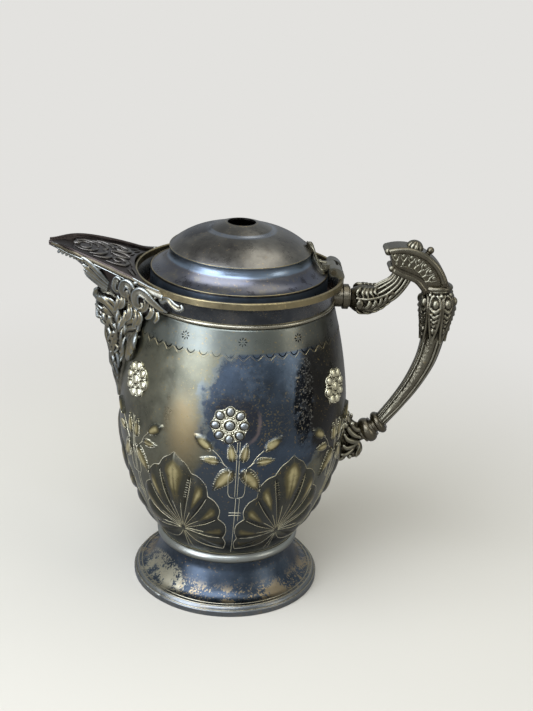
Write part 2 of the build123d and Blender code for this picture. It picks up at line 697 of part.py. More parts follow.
# Scrolls: on each side of the spout, volutes on one stem that run from the mask back to the collar
scroll_length = hypot(SCROLL_FRONT[0] - SCROLL_BACK[0], SCROLL_BACK[1] - SCROLL_FRONT[1])
scroll_run = (SCROLL_FRONT[0] - SCROLL_BACK[0]) / scroll_length
scroll_spread = (SCROLL_BACK[1] - SCROLL_FRONT[1]) / scroll_length
SCROLL_PLANE = Plane(
    origin=(-NECK_RADIUS - SCROLL_FRONT[0], -SCROLL_FRONT[1], RIM_TOP - SCROLL_DROP),
    x_dir=(scroll_run, -scroll_spread, 0),
    z_dir=(-scroll_spread, -scroll_run, 0),
)
with BuildPart() as spout_scroll_left:
    for along, rise, radius in SCROLL_VOLUTES:
        with Locations(SCROLL_PLANE * Pos(along, rise, 0)):
            Torus(0.74 * radius, 0.28 * radius)
            Sphere(0.36 * radius)
            Cylinder(0.84 * radius, SCROLL_BACKING, align=(Align.CENTER, Align.CENTER, Align.MAX))
    with BuildSketch(SCROLL_PLANE):
        with BuildLine():
            Spline([volute[:2] for volute in SCROLL_VOLUTES])
        trace(line_width=SCROLL_STEM)
    extrude(amount=-SCROLL_BACKING)
    add(SPOUT_OUTSIDE, mode=Mode.SUBTRACT)
    add(spout_trough.part, mode=Mode.SUBTRACT)
    add(ENVELOPE, mode=Mode.SUBTRACT)
save(spout_scroll_left, "spout_scroll_left")

with BuildPart() as spout_scroll_right:
    mirror(spout_scroll_left.part, about=Plane.XZ)
save(spout_scroll_right, "spout_scroll_right")

# Rosettes: a scalloped plate with eight beads in a ring round a ninth, bent to the jacket behind
for place, (angle, rise) in ROSETTE_PLACES.items():
    turn = radians(angle - 90)
    height = BELLY[1] + rise
    radius = jacket_radius(height)
    slope = (jacket_radius(height + 1) - jacket_radius(height - 1)) / 2
    rosette_plane = Plane(
        origin=(radius * cos(turn), radius * sin(turn), height),
        x_dir=(-sin(turn), cos(turn), 0),
        z_dir=(cos(turn), sin(turn), -slope),
    )
    with BuildPart() as rosette:
        with BuildSketch(rosette_plane.offset(-ROSETTE_PROUD)):
            Circle(ROSETTE_RADIUS - 0.75 * ROSETTE_LOBE_RADIUS)
            with PolarLocations(ROSETTE_RADIUS - ROSETTE_LOBE_RADIUS, 2 * ROSETTE_BEADS):
                Circle(ROSETTE_LOBE_RADIUS)
        extrude(amount=1.5 * ROSETTE_PROUD)
        with Locations(rosette_plane.offset(0.5 * ROSETTE_PROUD)):
            Sphere(ROSETTE_BEAD_RADIUS)
            with PolarLocations(ROSETTE_BEAD_CIRCLE, ROSETTE_BEADS):
                Sphere(ROSETTE_BEAD_RADIUS)
        add(ENVELOPE, mode=Mode.SUBTRACT)
    save(rosette, f"rosette_{place}")


def side_plane(distance, height, run, rise):
    """A plane square to a direction in the handle's own plane, with its x across the handle."""
    return Plane(origin=(distance, 0, height), x_dir=(0, 1, 0), z_dir=(run, 0, rise))


def station_planes(stations):
    """A plane at each station, square to the line through its neighbours."""
    planes = []
    for number, station in enumerate(stations):
        before = stations[max(number - 1, 0)]
        after = stations[min(number + 1, len(stations) - 1)]
        planes.append(side_plane(station[0], station[1], after[0] - before[0], after[1] - before[1]))
    return planes


def round_sections(stations):
    """A circle at each station."""
    sections = []
    for plane, station in zip(station_planes(stations), stations):
        with BuildSketch(plane) as section:
            Circle(station[2])
        sections.append(section.sketch)
    return sections


def fluted_sections(stations):
    """At each station, a ring with a hollow for each flute."""
    sections = []
    for plane, station in zip(station_planes(stations), stations):
        points = []
        for step in range(2 * FLUTES):
            reach = station[2] * (1 - FLUTE_DEPTH * (step % 2))
            turn = tau * step / (2 * FLUTES)
            points.append((reach * cos(turn), reach * sin(turn)))
        with BuildSketch(plane) as section:
            with BuildLine():
                Spline(points, periodic=True)
            make_face()
        sections.append(section.sketch)
    return sections


ARM_START = (NECK_RADIUS + ARM_OUT, NECK_HEIGHT + ARM_RISE)


def from_arm(steps):
    """Places on the handle, given as steps out and up from the arm's start. A station's radius stays."""
    return [(ARM_START[0] + step[0], ARM_START[1] + step[1], *step[2:]) for step in steps]


CREST_CENTRE, SLAB_PLACE = from_arm([CREST_STEP, SLAB_STEP])
CREST_SOLE = from_arm(CREST_SOLE_STEPS)
CREST_MIDDLE_ANGLE = (CREST_LEFT_ANGLE + CREST_RIGHT_ANGLE) / 2


def crest_point(angle, reach):
    """A point on the arched crest: an angle round its centre, and a distance from it."""
    turn = radians(angle)
    return (CREST_CENTRE[0] + reach * cos(turn), CREST_CENTRE[1] + reach * sin(turn))


def crest_arc(reach, left=0.0, right=0.0, lift=0.0):
    """An arc over the crest, run on by some degrees at each end, with its right end lifted."""
    return ThreePointArc(
        crest_point(CREST_LEFT_ANGLE + left, reach),
        crest_point(CREST_MIDDLE_ANGLE, reach),
        crest_point(CREST_RIGHT_ANGLE - right, reach + lift),
    )


# Upper socket: a stepped ring soldered to the neck, which the arm's end is let into
with BuildPart() as handle_socket:
    with BuildSketch(side_plane(ARM_START[0] - SOCKET_LENGTH, ARM_START[1], 1, 0)):
        Circle(SOCKET_STEP_RADIUS)
    extrude(amount=SOCKET_LENGTH)
    with BuildSketch(side_plane(ARM_START[0] - SOCKET_RING - SOCKET_LIP, ARM_START[1], 1, 0)):
        Circle(SOCKET_RADIUS)
    extrude(amount=SOCKET_RING)
    round_edges = handle_socket.edges().filter_by(GeomType.CIRCLE)
    fillet(round_edges.filter_by(lambda edge: edge.radius == SOCKET_RADIUS), 0.6)
    add(ENVELOPE, mode=Mode.SUBTRACT)
save(handle_socket, "handle_socket")

# Crest sole: the round moulding under the arch
with BuildPart() as handle_crest_sole:
    with BuildSketch(Plane.XZ):
        with BuildLine():
            Spline(CREST_SOLE)
        trace(line_width=2 * CREST_ROLL_RADIUS)
    extrude(amount=CREST_WIDTH / 2 + CREST_ROLL_PROUD, both=True)
save(handle_crest_sole, "handle_crest_sole")

# Slab: the square plate between the arch and the capital
with BuildPart() as handle_slab:
    slab_turn = radians(SLAB_TILT)
    with BuildSketch(side_plane(*SLAB_PLACE, -sin(slab_turn), cos(slab_turn))):
        RectangleRounded(SLAB_SIZE[1], SLAB_SIZE[0], SLAB_CORNER)
    extrude(amount=SLAB_SIZE[2] / 2, both=True)
    fillet(handle_slab.edges().group_by(Axis.Z)[-1], 0.6)
    add(handle_crest_sole.part, mode=Mode.SUBTRACT)
save(handle_slab, "handle_slab")

# Crest cap: the rounded bar along the top of the arch
with BuildPart() as handle_crest_cap:
    with BuildSketch(Plane.XZ):
        with BuildLine():
            cap_out = crest_arc(CREST_OUTER, CREST_CAP_LEFT, CREST_CAP_RIGHT, CREST_CAP_LIFT)
            cap_in = crest_arc(
                CREST_OUTER - CREST_CAP_THICKNESS, CREST_CAP_LEFT, CREST_CAP_RIGHT, CREST_CAP_LIFT
            )
            Line(cap_out @ 0, cap_in @ 0)
            Line(cap_out @ 1, cap_in @ 1)
        make_face()
    extrude(amount=CREST_CAP_WIDTH / 2, both=True)
    fillet(handle_crest_cap.edges(), 0.42 * CREST_CAP_THICKNESS)
    add(handle_slab.part, mode=Mode.SUBTRACT)
save(handle_crest_cap, "handle_crest_cap")

# Crest: the arched frieze between cap and sole, with a row of upright tongues on each side
with BuildPart() as handle_crest:
    with BuildSketch(Plane.XZ):
        with BuildLine():
            frieze_top = crest_arc(CREST_OUTER - 0.5 * CREST_CAP_THICKNESS)
            frieze_sole = Spline(CREST_SOLE)
            Line(frieze_top @ 0, frieze_sole @ 0)
            Line(frieze_top @ 1, frieze_sole @ 1)
        make_face()
    extrude(amount=CREST_WIDTH / 2, both=True)
    tongue_step = (CREST_LEFT_ANGLE - CREST_RIGHT_ANGLE) / (CREST_TONGUES + 1)
    for number in range(CREST_TONGUES):
        angle = CREST_LEFT_ANGLE - (number + 1) * tongue_step
        low = crest_point(angle, CREST_OUTER - CREST_CAP_THICKNESS - TONGUE_HEIGHT)
        turn = radians(angle)
        tongue_plane = Plane(origin=(low[0], 0, low[1]), x_dir=(-sin(turn), 0, cos(turn)), z_dir=(0, -1, 0))
        narrow, wide = TONGUE_HALF_WIDTHS
        with BuildSketch(tongue_plane):
            with BuildLine():
                corners = [(-narrow, 0), (-wide, -TONGUE_HEIGHT), (wide, -TONGUE_HEIGHT), (narrow, 0)]
                Polyline(*corners, close=True)
            make_face()
        extrude(amount=CREST_WIDTH / 2 + CREST_TONGUE_PROUD, both=True)
    for piece in (handle_crest_cap, handle_crest_sole, handle_slab):
        add(piece.part, mode=Mode.SUBTRACT)
save(handle_crest, "handle_crest")

# Dome: a small fluted button on the top of the cap
dome_foot = crest_point(DOME_ANGLE, CREST_OUTER - BUTTON_SUNK)
dome_tip = crest_point(DOME_ANGLE, CREST_OUTER + DOME_HEIGHT)
dome_stations = []
for share, width in ((0.0, 1.0), (0.35, 0.95), (0.7, 0.7), (1.0, 0.25)):
    dome_stations.append(
        (
            dome_foot[0] + share * (dome_tip[0] - dome_foot[0]),
            dome_foot[1] + share * (dome_tip[1] - dome_foot[1]),
            width * DOME_RADIUS,
        )
    )
dome_sections = fluted_sections(dome_stations)
with BuildPart() as handle_crest_dome:
    loft(sections=dome_sections)
    add(handle_crest_cap.part, mode=Mode.SUBTRACT)
save(handle_crest_dome, "handle_crest_dome")

# Knob: a ball on a short neck, behind the dome
knob_foot = crest_point(KNOB_ANGLE, CREST_OUTER - BUTTON_SUNK)
knob_centre = crest_point(KNOB_ANGLE, CREST_OUTER + 0.9 * KNOB_RADIUS)
with BuildPart() as handle_crest_knob:
    with Locations((knob_centre[0], 0, knob_centre[1])):
        Sphere(KNOB_RADIUS)
    with BuildSketch(side_plane(*knob_foot, knob_centre[0] - knob_foot[0], knob_centre[1] - knob_foot[1])):
        Circle(0.7 * KNOB_RADIUS)
    extrude(amount=KNOB_RADIUS)
    add(handle_crest_cap.part, mode=Mode.SUBTRACT)
save(handle_crest_knob, "handle_crest_knob")

# Upper arm: the leafy bulb, and the fluted neck that climbs to the arch
bulb_sections = round_sections(from_arm(ARM_BULB))
neck_sections = fluted_sections(from_arm(ARM_NECK))
with BuildPart() as handle_upper_arm:
    loft(sections=bulb_sections)
    loft(sections=neck_sections)
    for piece in (handle_crest, handle_crest_sole, handle_socket):
        add(piece.part, mode=Mode.SUBTRACT)
save(handle_upper_arm, "handle_upper_arm")

# Capital: the swelling under the slab, cast with shells, that narrows into the shaft
CAPITAL_STATIONS = from_arm(CAPITAL_STEPS)
capital_sections = round_sections(CAPITAL_STATIONS)
with BuildPart() as handle_capital:
    loft(sections=capital_sections)
    add(handle_slab.part, mode=Mode.SUBTRACT)
    add(handle_crest_sole.part, mode=Mode.SUBTRACT)
save(handle_capital, "handle_capital")

# Beads: two turned rings under the shaft, on one core
mount_top = BELLY[1] - MOUNT_TOP_DROP
mount_foot = BELLY[1] - MOUNT_FOOT_DROP
mount_middle = (mount_top + mount_foot) / 2
mount_half = (mount_top - mount_foot) / 2
mount_radius = jacket_radius(mount_middle)
BEAD_STATIONS = [
    (mount_radius + out, BELLY[1] - drop, length, radius) for out, drop, length, radius in BEAD_STEPS
]
bead_run = (BEAD_STATIONS[1][0] - BEAD_STATIONS[0][0], BEAD_STATIONS[1][1] - BEAD_STATIONS[0][1])
bead_gap = hypot(*bead_run)
with BuildPart() as handle_beads:
    with BuildSketch(side_plane(*BEAD_STATIONS[0][:2], *bead_run)):
        Circle(0.6 * BEAD_STATIONS[0][3])
    extrude(amount=bead_gap)
    for distance, height, length, radius in BEAD_STATIONS:
        bead_plane = side_plane(distance, height, *bead_run)
        with BuildSketch(bead_plane):
            Circle(0.78 * radius)
        extrude(amount=0.5 * length + 0.4, both=True)
        with Locations(bead_plane):
            Torus(radius - 0.5 * length, 0.5 * length)
save(handle_beads, "handle_beads")

# Shaft: the long fluted arm from the capital down to the beads, bowed away from the body
shaft_top = CAPITAL_STATIONS[-1]
shaft_foot = (BEAD_STATIONS[0][0] + SHAFT_FOOT_STEP[0], BEAD_STATIONS[0][1] + SHAFT_FOOT_STEP[1])
shaft_run = (shaft_foot[0] - shaft_top[0], shaft_foot[1] - shaft_top[1])
shaft_length = hypot(*shaft_run)
shaft_stations = []
for share, bulge, radius in SHAFT_OUTLINE:
    distance = shaft_top[0] + share * shaft_run[0] - bulge * shaft_run[1] / shaft_length
    height = shaft_top[1] + share * shaft_run[1] + bulge * shaft_run[0] / shaft_length
    shaft_stations.append((distance, height, radius))
shaft_sections = fluted_sections(shaft_stations)
with BuildPart() as handle_shaft:
    loft(sections=shaft_sections)
    add(handle_beads.part, mode=Mode.SUBTRACT)
    add(handle_capital.part, mode=Mode.SUBTRACT)
save(handle_shaft, "handle_shaft")

# Lower mount: a domed leaf soldered to the jacket, with a stub that carries the beads
stub_start = (BEAD_STATIONS[1][0] - 2, BEAD_STATIONS[1][1] - 1)
with BuildPart() as handle_lower_mount:
    with BuildSketch(Plane.XZ):
        with Locations((mount_radius - MOUNT_SUNK, mount_middle)):
            Ellipse(MOUNT_HALF_WIDTH, mount_half)
            with Locations((-MOUNT_HALF_WIDTH, 0)):
                Rectangle(2 * MOUNT_HALF_WIDTH, 2 * mount_half, mode=Mode.SUBTRACT)
    revolve(axis=Axis((mount_radius - MOUNT_SUNK, 0, 0), (0, 0, 1)))
    with BuildSketch(side_plane(*stub_start, *bead_run)):
        Circle(0.66 * BEAD_STATIONS[1][3])
    extrude(amount=2 * MOUNT_HALF_WIDTH, taper=-4)
    add(handle_beads.part, mode=Mode.SUBTRACT)
    add(ENVELOPE, mode=Mode.SUBTRACT)
save(handle_lower_mount, "handle_lower_mount")


LID_SKIN_WAYS = [(0.4, 0.9), (0.5, 0.85), (0.8, 0.5), (0.35, 0.93), (0.2, 1.0), (0.0, 1.0)]
LID_CROWN_HEIGHT = LID_EDGE_HEIGHT + LID_CROWN_RISE


def lid_outline(shift=0.0):
    """Points of the lid's outside from the edge to the hole, moved out from the metal by shift."""
    steps = [(0, LID_SHEET), LID_STEP, LID_DOME_FOOT, LID_DOME_MIDDLE, LID_RING]
    places = [(LID_RADIUS - inward, LID_EDGE_HEIGHT + rise) for inward, rise in steps]
    places.append((LID_HOLE_RADIUS, LID_CROWN_HEIGHT))
    return [(x + way[0] * shift, z + way[1] * shift) for (x, z), way in zip(places, LID_SKIN_WAYS)]


def bowed(start, end, across, up):
    """An arc whose middle stands off its chord's middle by so much across and up."""
    middle = ((start[0] + end[0]) / 2 + across, (start[1] + end[1]) / 2 + up)
    return ThreePointArc(start, middle, end)


def lid_side(points):
    """The lid's line through its six points: cavetto, step, two stretches of dome and the crown."""
    edge, step, dome_foot, dome_middle, ring, crown = points
    cavetto = bowed(edge, step, -0.8, -1.3)
    cove = bowed(step, dome_foot, -0.9, -0.3)
    dome = ThreePointArc(dome_foot, dome_middle, ring)
    return [cavetto, cove, dome, bowed(ring, crown, 0, 0.5)]


# Lid shell: spun in one piece, with a cavetto brim, a step, a dome and the finial's open hole
outer_points = lid_outline()
inner_points = lid_outline(-LID_SHEET)
outer_lines = lid_side(outer_points)
inner_lines = lid_side([(LID_RADIUS - LID_SHEET, LID_EDGE_HEIGHT)] + inner_points[1:])
with BuildPart() as lid_shell:
    with BuildSketch(Plane.XZ):
        with BuildLine():
            add(outer_lines)
            add(inner_lines)
            Line((LID_RADIUS, LID_EDGE_HEIGHT), outer_points[0])
            Line((LID_RADIUS, LID_EDGE_HEIGHT), (LID_RADIUS - LID_SHEET, LID_EDGE_HEIGHT))
            Line(outer_points[-1], inner_points[-1])
        make_face()
    revolve(axis=Axis.Z)
save(lid_shell, "lid_shell")

# Lid flange: the deep skirt that hangs inside the collar
LID_FLANGE_TOP_RADIUS = LID_RADIUS - LID_FLANGE_INSET
FLANGE_FOOT_HEIGHT = SEAT_TOP + SEAT_GAP
with BuildPart() as lid_flange:
    with BuildSketch(Plane.XZ):
        with BuildLine():
            Polyline(
                (LID_FLANGE_TOP_RADIUS, LID_EDGE_HEIGHT),
                (LID_FLANGE_TOP_RADIUS + LID_FLANGE_FLARE, FLANGE_FOOT_HEIGHT),
                (LID_FLANGE_TOP_RADIUS + LID_FLANGE_FLARE - LID_FLANGE_WALL, FLANGE_FOOT_HEIGHT),
                (LID_FLANGE_TOP_RADIUS - LID_FLANGE_WALL, LID_EDGE_HEIGHT),
                close=True,
            )
        make_face()
    revolve(axis=Axis.Z)
save(lid_flange, "lid_flange")

# Lid pan: the shallow dish inside the flange that closes the hollow lid
PAN_HEIGHT = LID_EDGE_HEIGHT - PAN_DROP
with BuildPart() as lid_pan:
    with BuildSketch(Plane.XZ):
        with BuildLine():
            pan_edge = LID_FLANGE_TOP_RADIUS - LID_FLANGE_WALL
            pan_top = bowed((-pan_edge, PAN_HEIGHT), (pan_edge, PAN_HEIGHT), 0, PAN_RISE)
            pan_floor = PAN_HEIGHT - LID_PAN_SHEET
            pan_under = bowed((-pan_edge, pan_floor), (pan_edge, pan_floor), 0, PAN_RISE)
            Line(pan_top @ 0, pan_under @ 0)
            Line(pan_top @ 1, pan_under @ 1)
        make_face()
        split(bisect_by=Plane.YZ)
    revolve(axis=Axis.Z)
save(lid_pan, "lid_pan")


def under_lid(points):
    """Everything under the lid's line through these points, down to the height of its edge, as a solid."""
    edge_foot = (points[0][0], LID_EDGE_HEIGHT)
    with BuildPart() as under:
        with BuildSketch(Plane.XZ):
            with BuildLine():
                add(lid_side(points))
                Polyline(points[-1], (0, points[-1][1]), (0, LID_EDGE_HEIGHT), edge_foot, points[0])
            make_face()
        revolve(axis=Axis.Z)
    return under.part


# The lid as a solid, and the same with room round it for the leaf's thickness
LID_BODY = under_lid(outer_points)
LID_SKIN = under_lid(lid_outline(LEAF_THICKNESS))

# Hinge: three knuckles on one line. The middle one belongs to the lid's leaf, the outer two to the bracket
HINGE_PLANE = Plane(origin=(HINGE_X, 0, HINGE_HEIGHT), x_dir=(1, 0, 0), z_dir=(0, -1, 0))
LEAF_KNUCKLE = HINGE_WIDTH / 3
BRACKET_KNUCKLE = (HINGE_WIDTH - LEAF_KNUCKLE) / 2 - HINGE_SIDE_GAP
bracket_middle = (HINGE_WIDTH - BRACKET_KNUCKLE) / 2

# Hinge leaf: a cast leaf that lies on the brim and climbs to the dome's foot, with a rib down its middle
with BuildPart() as hinge_leaf:
    with BuildSketch(Plane.XY.offset(LID_EDGE_HEIGHT)):
        with BuildLine():
            leaf_end = LID_RADIUS - LEAF_HEEL[0]
            leaf_side = Spline(
                [
                    (LID_RADIUS - LEAF_LENGTH, 0),
                    (LID_RADIUS - LEAF_SHOULDER[0], LEAF_SHOULDER[1]),
                    (LID_RADIUS - LEAF_WIDEST, LEAF_HALF_WIDTH),
                    (leaf_end, LEAF_HEEL[1]),
                ]
            )
            mirror(leaf_side, about=Plane.XZ)
            Line(leaf_side @ 1, (leaf_end, -LEAF_HEEL[1]))
        make_face()
    extrude(amount=LID_CROWN_HEIGHT - LID_EDGE_HEIGHT)
    add(LID_SKIN, mode=Mode.INTERSECT)
    with BuildSketch(HINGE_PLANE):
        with Locations((-0.5 * LEAF_REACH, 0.9)):
            Rectangle(LEAF_REACH, HINGE_BARREL_RADIUS)
        Circle(HINGE_BARREL_RADIUS)
    extrude(amount=LEAF_KNUCKLE / 2, both=True)
    add(LID_BODY, mode=Mode.SUBTRACT)
    with BuildSketch(HINGE_PLANE):
        Circle(HINGE_PIN_RADIUS + HINGE_PIN_CLEARANCE)
    extrude(amount=HINGE_WIDTH, both=True, mode=Mode.SUBTRACT)
save(hinge_leaf, "hinge_leaf")

# Hinge bracket: two knuckles on a lobe that stands on the rim, with a tongue soldered inside the mouth
BRACKET_REACH = RIM_OUTER_RADIUS - BRACKET_INSET - HINGE_X
BRACKET_FOOT = RIM_TOP - HINGE_HEIGHT
with BuildPart() as hinge_bracket:
    with BuildSketch(HINGE_PLANE):
        with BuildLine():
            web = Spline(
                [(BRACKET_REACH - 3.7, 1.2), (BRACKET_REACH - 2.2, 0), (BRACKET_REACH, BRACKET_FOOT)],
                tangents=[(1, -0.6), (0.1, -1)],
            )
            Polyline(web @ 1, (BRACKET_REACH - 4.7, BRACKET_FOOT), web @ 0)
        make_face()
    extrude(amount=HINGE_WIDTH / 2 - 0.5 * BRACKET_KNUCKLE, both=True)
    with BuildSketch(HINGE_PLANE):
        Circle(HINGE_BARREL_RADIUS + KNUCKLE_CLEARANCE)
    extrude(amount=LEAF_KNUCKLE / 2 + HINGE_SIDE_GAP, both=True, mode=Mode.SUBTRACT)
    for side in (-1, 1):
        with BuildSketch(HINGE_PLANE.offset(side * bracket_middle)):
            Circle(HINGE_BARREL_RADIUS)
            with BuildLine():
                lobe = Spline(
                    [(0, HINGE_BARREL_RADIUS), (BRACKET_REACH - 3, 1.5), (BRACKET_REACH, BRACKET_FOOT)],
                    tangents=[(1, 0), (0.1, -1)],
                )
                Polyline(lobe @ 1, (BRACKET_REACH - 5.2, BRACKET_FOOT), (0, -1.5), (0, HINGE_BARREL_RADIUS))
            make_face()
        extrude(amount=BRACKET_KNUCKLE / 2, both=True)
    with BuildSketch(Plane.XY.offset(RIM_TOP)):
        Circle(RIM_INNER_RADIUS - 0.4 * SOLDER_GAP)
        Circle(RIM_INNER_RADIUS - TONGUE_WALL, mode=Mode.SUBTRACT)
        with Locations((RIM_INNER_RADIUS, 0)):
            Rectangle(2 * TONGUE_WALL + 4, HINGE_WIDTH, mode=Mode.INTERSECT)
    extrude(amount=-RIM_HEIGHT + 0.4)
    with BuildSketch(HINGE_PLANE):
        Circle(HINGE_PIN_RADIUS)
    extrude(amount=HINGE_WIDTH, both=True, mode=Mode.SUBTRACT)
    with BuildSketch(Plane.XY.offset(RIM_TOP - 2 * RIM_HEIGHT)):
        Circle(RIM_OUTER_RADIUS + BRACKET_INSET)
    extrude(amount=2 * RIM_HEIGHT + HINGE_RISE + 2 * HINGE_BARREL_RADIUS, mode=Mode.INTERSECT)
save(hinge_bracket, "hinge_bracket")

# Hinge pin: riveted over at both ends
with BuildPart() as hinge_pin:
    with BuildSketch(HINGE_PLANE):
        Circle(HINGE_PIN_RADIUS)
    extrude(amount=HINGE_WIDTH / 2, both=True)
    with BuildSketch(HINGE_PLANE.offset(HINGE_WIDTH / 2), HINGE_PLANE.offset(-HINGE_WIDTH / 2 - PIN_HEAD)):
        Circle(HINGE_PIN_RADIUS + PIN_HEAD_PROUD)
    extrude(amount=PIN_HEAD)
save(hinge_pin, "hinge_pin")
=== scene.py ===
# %% [markdown]
# # An old ice water pitcher
#
# The object is a silver-plated pitcher from the time when ice was bought by the block. Its plate has
# tarnished to olive grey, brown and blue-black, and the brass shows gold where the plate wore through. The
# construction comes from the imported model, which this lesson loads as a frame that it never moves. What it
# adds is the skin: chased leaves, castings and the look of old metal. Lengths are written in millimetres
# and turned to metres at the end.

# %% Load the frame
import json
from math import atan2, cos, degrees, hypot, pi, radians, sin, sqrt

import bpy
import numpy as np
from mathutils import Matrix, Vector


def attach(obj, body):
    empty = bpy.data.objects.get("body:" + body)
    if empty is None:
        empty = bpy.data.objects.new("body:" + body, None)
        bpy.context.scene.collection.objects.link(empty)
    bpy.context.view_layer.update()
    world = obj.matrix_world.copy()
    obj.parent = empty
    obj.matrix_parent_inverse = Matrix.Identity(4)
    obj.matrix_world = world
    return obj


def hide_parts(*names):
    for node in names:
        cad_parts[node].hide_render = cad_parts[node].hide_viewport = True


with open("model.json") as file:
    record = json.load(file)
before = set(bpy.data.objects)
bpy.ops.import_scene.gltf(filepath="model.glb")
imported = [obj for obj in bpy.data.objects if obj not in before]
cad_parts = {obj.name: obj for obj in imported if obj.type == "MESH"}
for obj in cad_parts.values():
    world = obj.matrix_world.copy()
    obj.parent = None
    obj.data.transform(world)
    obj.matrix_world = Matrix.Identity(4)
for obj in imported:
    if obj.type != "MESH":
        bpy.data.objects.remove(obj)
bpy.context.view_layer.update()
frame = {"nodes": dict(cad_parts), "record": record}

nodes = frame["nodes"]
MM = 0.001
chance = np.random.default_rng(11)

# %% [markdown]
# ## Camera
#
# The photograph was taken from a little above the rim, by a long lens that was held slightly askew. A
# camera in Blender looks along its own -Z axis, so its matrix is built from three directions: right, up and
# backward. The tilt turns right and up about the third. The focal length in millimetres follows from the
# one in pixels, because the sensor's 36 mm lie along the picture's longer side.

# %% Camera
PICTURE_HEIGHT = 711
FOCAL_PIXELS = 1335
SENSOR = 36.0
CAMERA_PLACE = Vector((-29.2, -835.8, 502.7)) * MM
CAMERA_YAW = radians(3.44)
CAMERA_PITCH = radians(21.93)
CAMERA_ROLL = radians(3.33)

right = Vector((cos(CAMERA_YAW), -sin(CAMERA_YAW), 0))
ahead = Vector((sin(CAMERA_YAW) * cos(CAMERA_PITCH), cos(CAMERA_YAW) * cos(CAMERA_PITCH), -sin(CAMERA_PITCH)))
up = right.cross(ahead)
tilted_right = right * cos(CAMERA_ROLL) + up * sin(CAMERA_ROLL)
tilted_up = up * cos(CAMERA_ROLL) - right * sin(CAMERA_ROLL)

lens = bpy.data.cameras.new("camera")
lens.sensor_width = SENSOR
lens.lens = SENSOR * FOCAL_PIXELS / PICTURE_HEIGHT
lens.clip_start = 0.05
lens.clip_end = 50
camera = bpy.data.objects.new("camera", lens)
turn = Matrix((tilted_right, tilted_up, -ahead)).transposed().to_4x4()
camera.matrix_world = Matrix.Translation(CAMERA_PLACE) @ turn
bpy.context.scene.collection.objects.link(camera)
bpy.context.scene.camera = camera
print("camera: lens", round(lens.lens, 1), "mm")

# %% [markdown]
# ## Helpers for materials
#
# Colours are written as sRGB hex values, the way that a paint chart gives them, and one function turns them
# to the linear values that the renderer works with. A second small function adds a node, sets it up, links
# it and gives one of its outputs, so that a material reads as a list of what it is made of.

# %% Colours and nodes
LINEAR_KNEE = 0.04045


def linear(hex_colour):
    """Turns an sRGB hex colour such as "#8a7a4e" to linear red, green, blue and alpha."""
    channels = [int(hex_colour[start:start + 2], 16) / 255 for start in (1, 3, 5)]
    return tuple(c / 12.92 if c <= LINEAR_KNEE else ((c + 0.055) / 1.055) ** 2.4 for c in channels) + (1.0,)


def add(tree, kind, inputs=None, give=0, **settings):
    """Adds one node with its settings. Its inputs are values or sockets to link from. Gives one output."""
    made = tree.nodes.new(kind)
    for name, value in settings.items():
        setattr(made, name, value)
    for socket, value in (inputs or {}).items():
        if isinstance(value, bpy.types.NodeSocket):
            tree.links.new(value, made.inputs[socket])
        else:
            made.inputs[socket].default_value = value
    return made.outputs[give]


print("colour check:", [round(c, 3) for c in linear("#8a7a4e")])

# %% [markdown]
# ## Old plate
#
# Silver plate is a few hundredths of a millimetre of silver on brass or soft white metal. Left alone, it
# turns yellow, brown, violet, blue and last of all black, as the sulphide on it grows thicker. So a
# tarnished surface isn't one colour with dirt on it, but clouds that drift through that order. Here the
# clouds are noise at three sizes: a hand's width, a finger's width, and the grain of the metal. A metal
# keeps the default IOR, and its colour is in the base colour. Every metal below starts from these clouds,
# gets its own patches, bands or wear laid over them, and is then closed with its roughness and with fine
# scratches as bump, because they break up highlights.

# %% Clouds, and how a metal is closed
CLOUD_WIDTH = 60.0
MOTTLE_WIDTH = 12.0
GRAIN_WIDTH = 1.4
SCRATCH_WIDTH = 2.2
MIX_OUT = 2


def per_metre(width):
    """The noise scale that gives features of about this width in millimetres."""
    return 1 / (width * MM)


def start_metal(name, clouds, seed):
    """A new metal whose colour drifts through the clouds, a list of (place, colour), and what it needs."""
    material = bpy.data.materials.new(name)
    material.use_nodes = True
    tree = material.node_tree
    place = add(tree, "ShaderNodeTexCoord", give="Object")
    shifted = add(tree, "ShaderNodeVectorMath", {0: place, 1: (seed, 2 * seed, -seed)}, operation="ADD")
    noises = []
    for width, detail, coarse in ((CLOUD_WIDTH, 5, 0.6), (MOTTLE_WIDTH, 6, 0.68), (GRAIN_WIDTH, 3, 0.6)):
        settings = {"Vector": shifted, "Scale": per_metre(width), "Detail": detail, "Roughness": coarse}
        noises.append(add(tree, "ShaderNodeTexNoise", settings))
    cloud, mottle, grain = noises
    weighed = add(tree, "ShaderNodeMath", {0: cloud, 1: 0.65, 2: 0.0}, operation="MULTIPLY_ADD")
    mixed = add(tree, "ShaderNodeMath", {0: mottle, 1: 0.35, 2: weighed}, operation="MULTIPLY_ADD")
    colour = add(tree, "ShaderNodeValToRGB", {0: mixed})
    for number, (where, tone) in enumerate(clouds):
        ramp = colour.node.color_ramp
        stop = ramp.elements[number] if number < 2 else ramp.elements.new(where)
        stop.position = where
        stop.color = linear(tone)
    height = add(tree, "ShaderNodeSeparateXYZ", {0: place}, "Z")
    worn = add(tree, "ShaderNodeAttribute", give="Fac", attribute_name="worn")
    return material, {"tree": tree, "place": place, "shifted": shifted, "cloud": cloud, "mottle": mottle,
                      "grain": grain, "colour": colour, "height": height, "worn": worn}


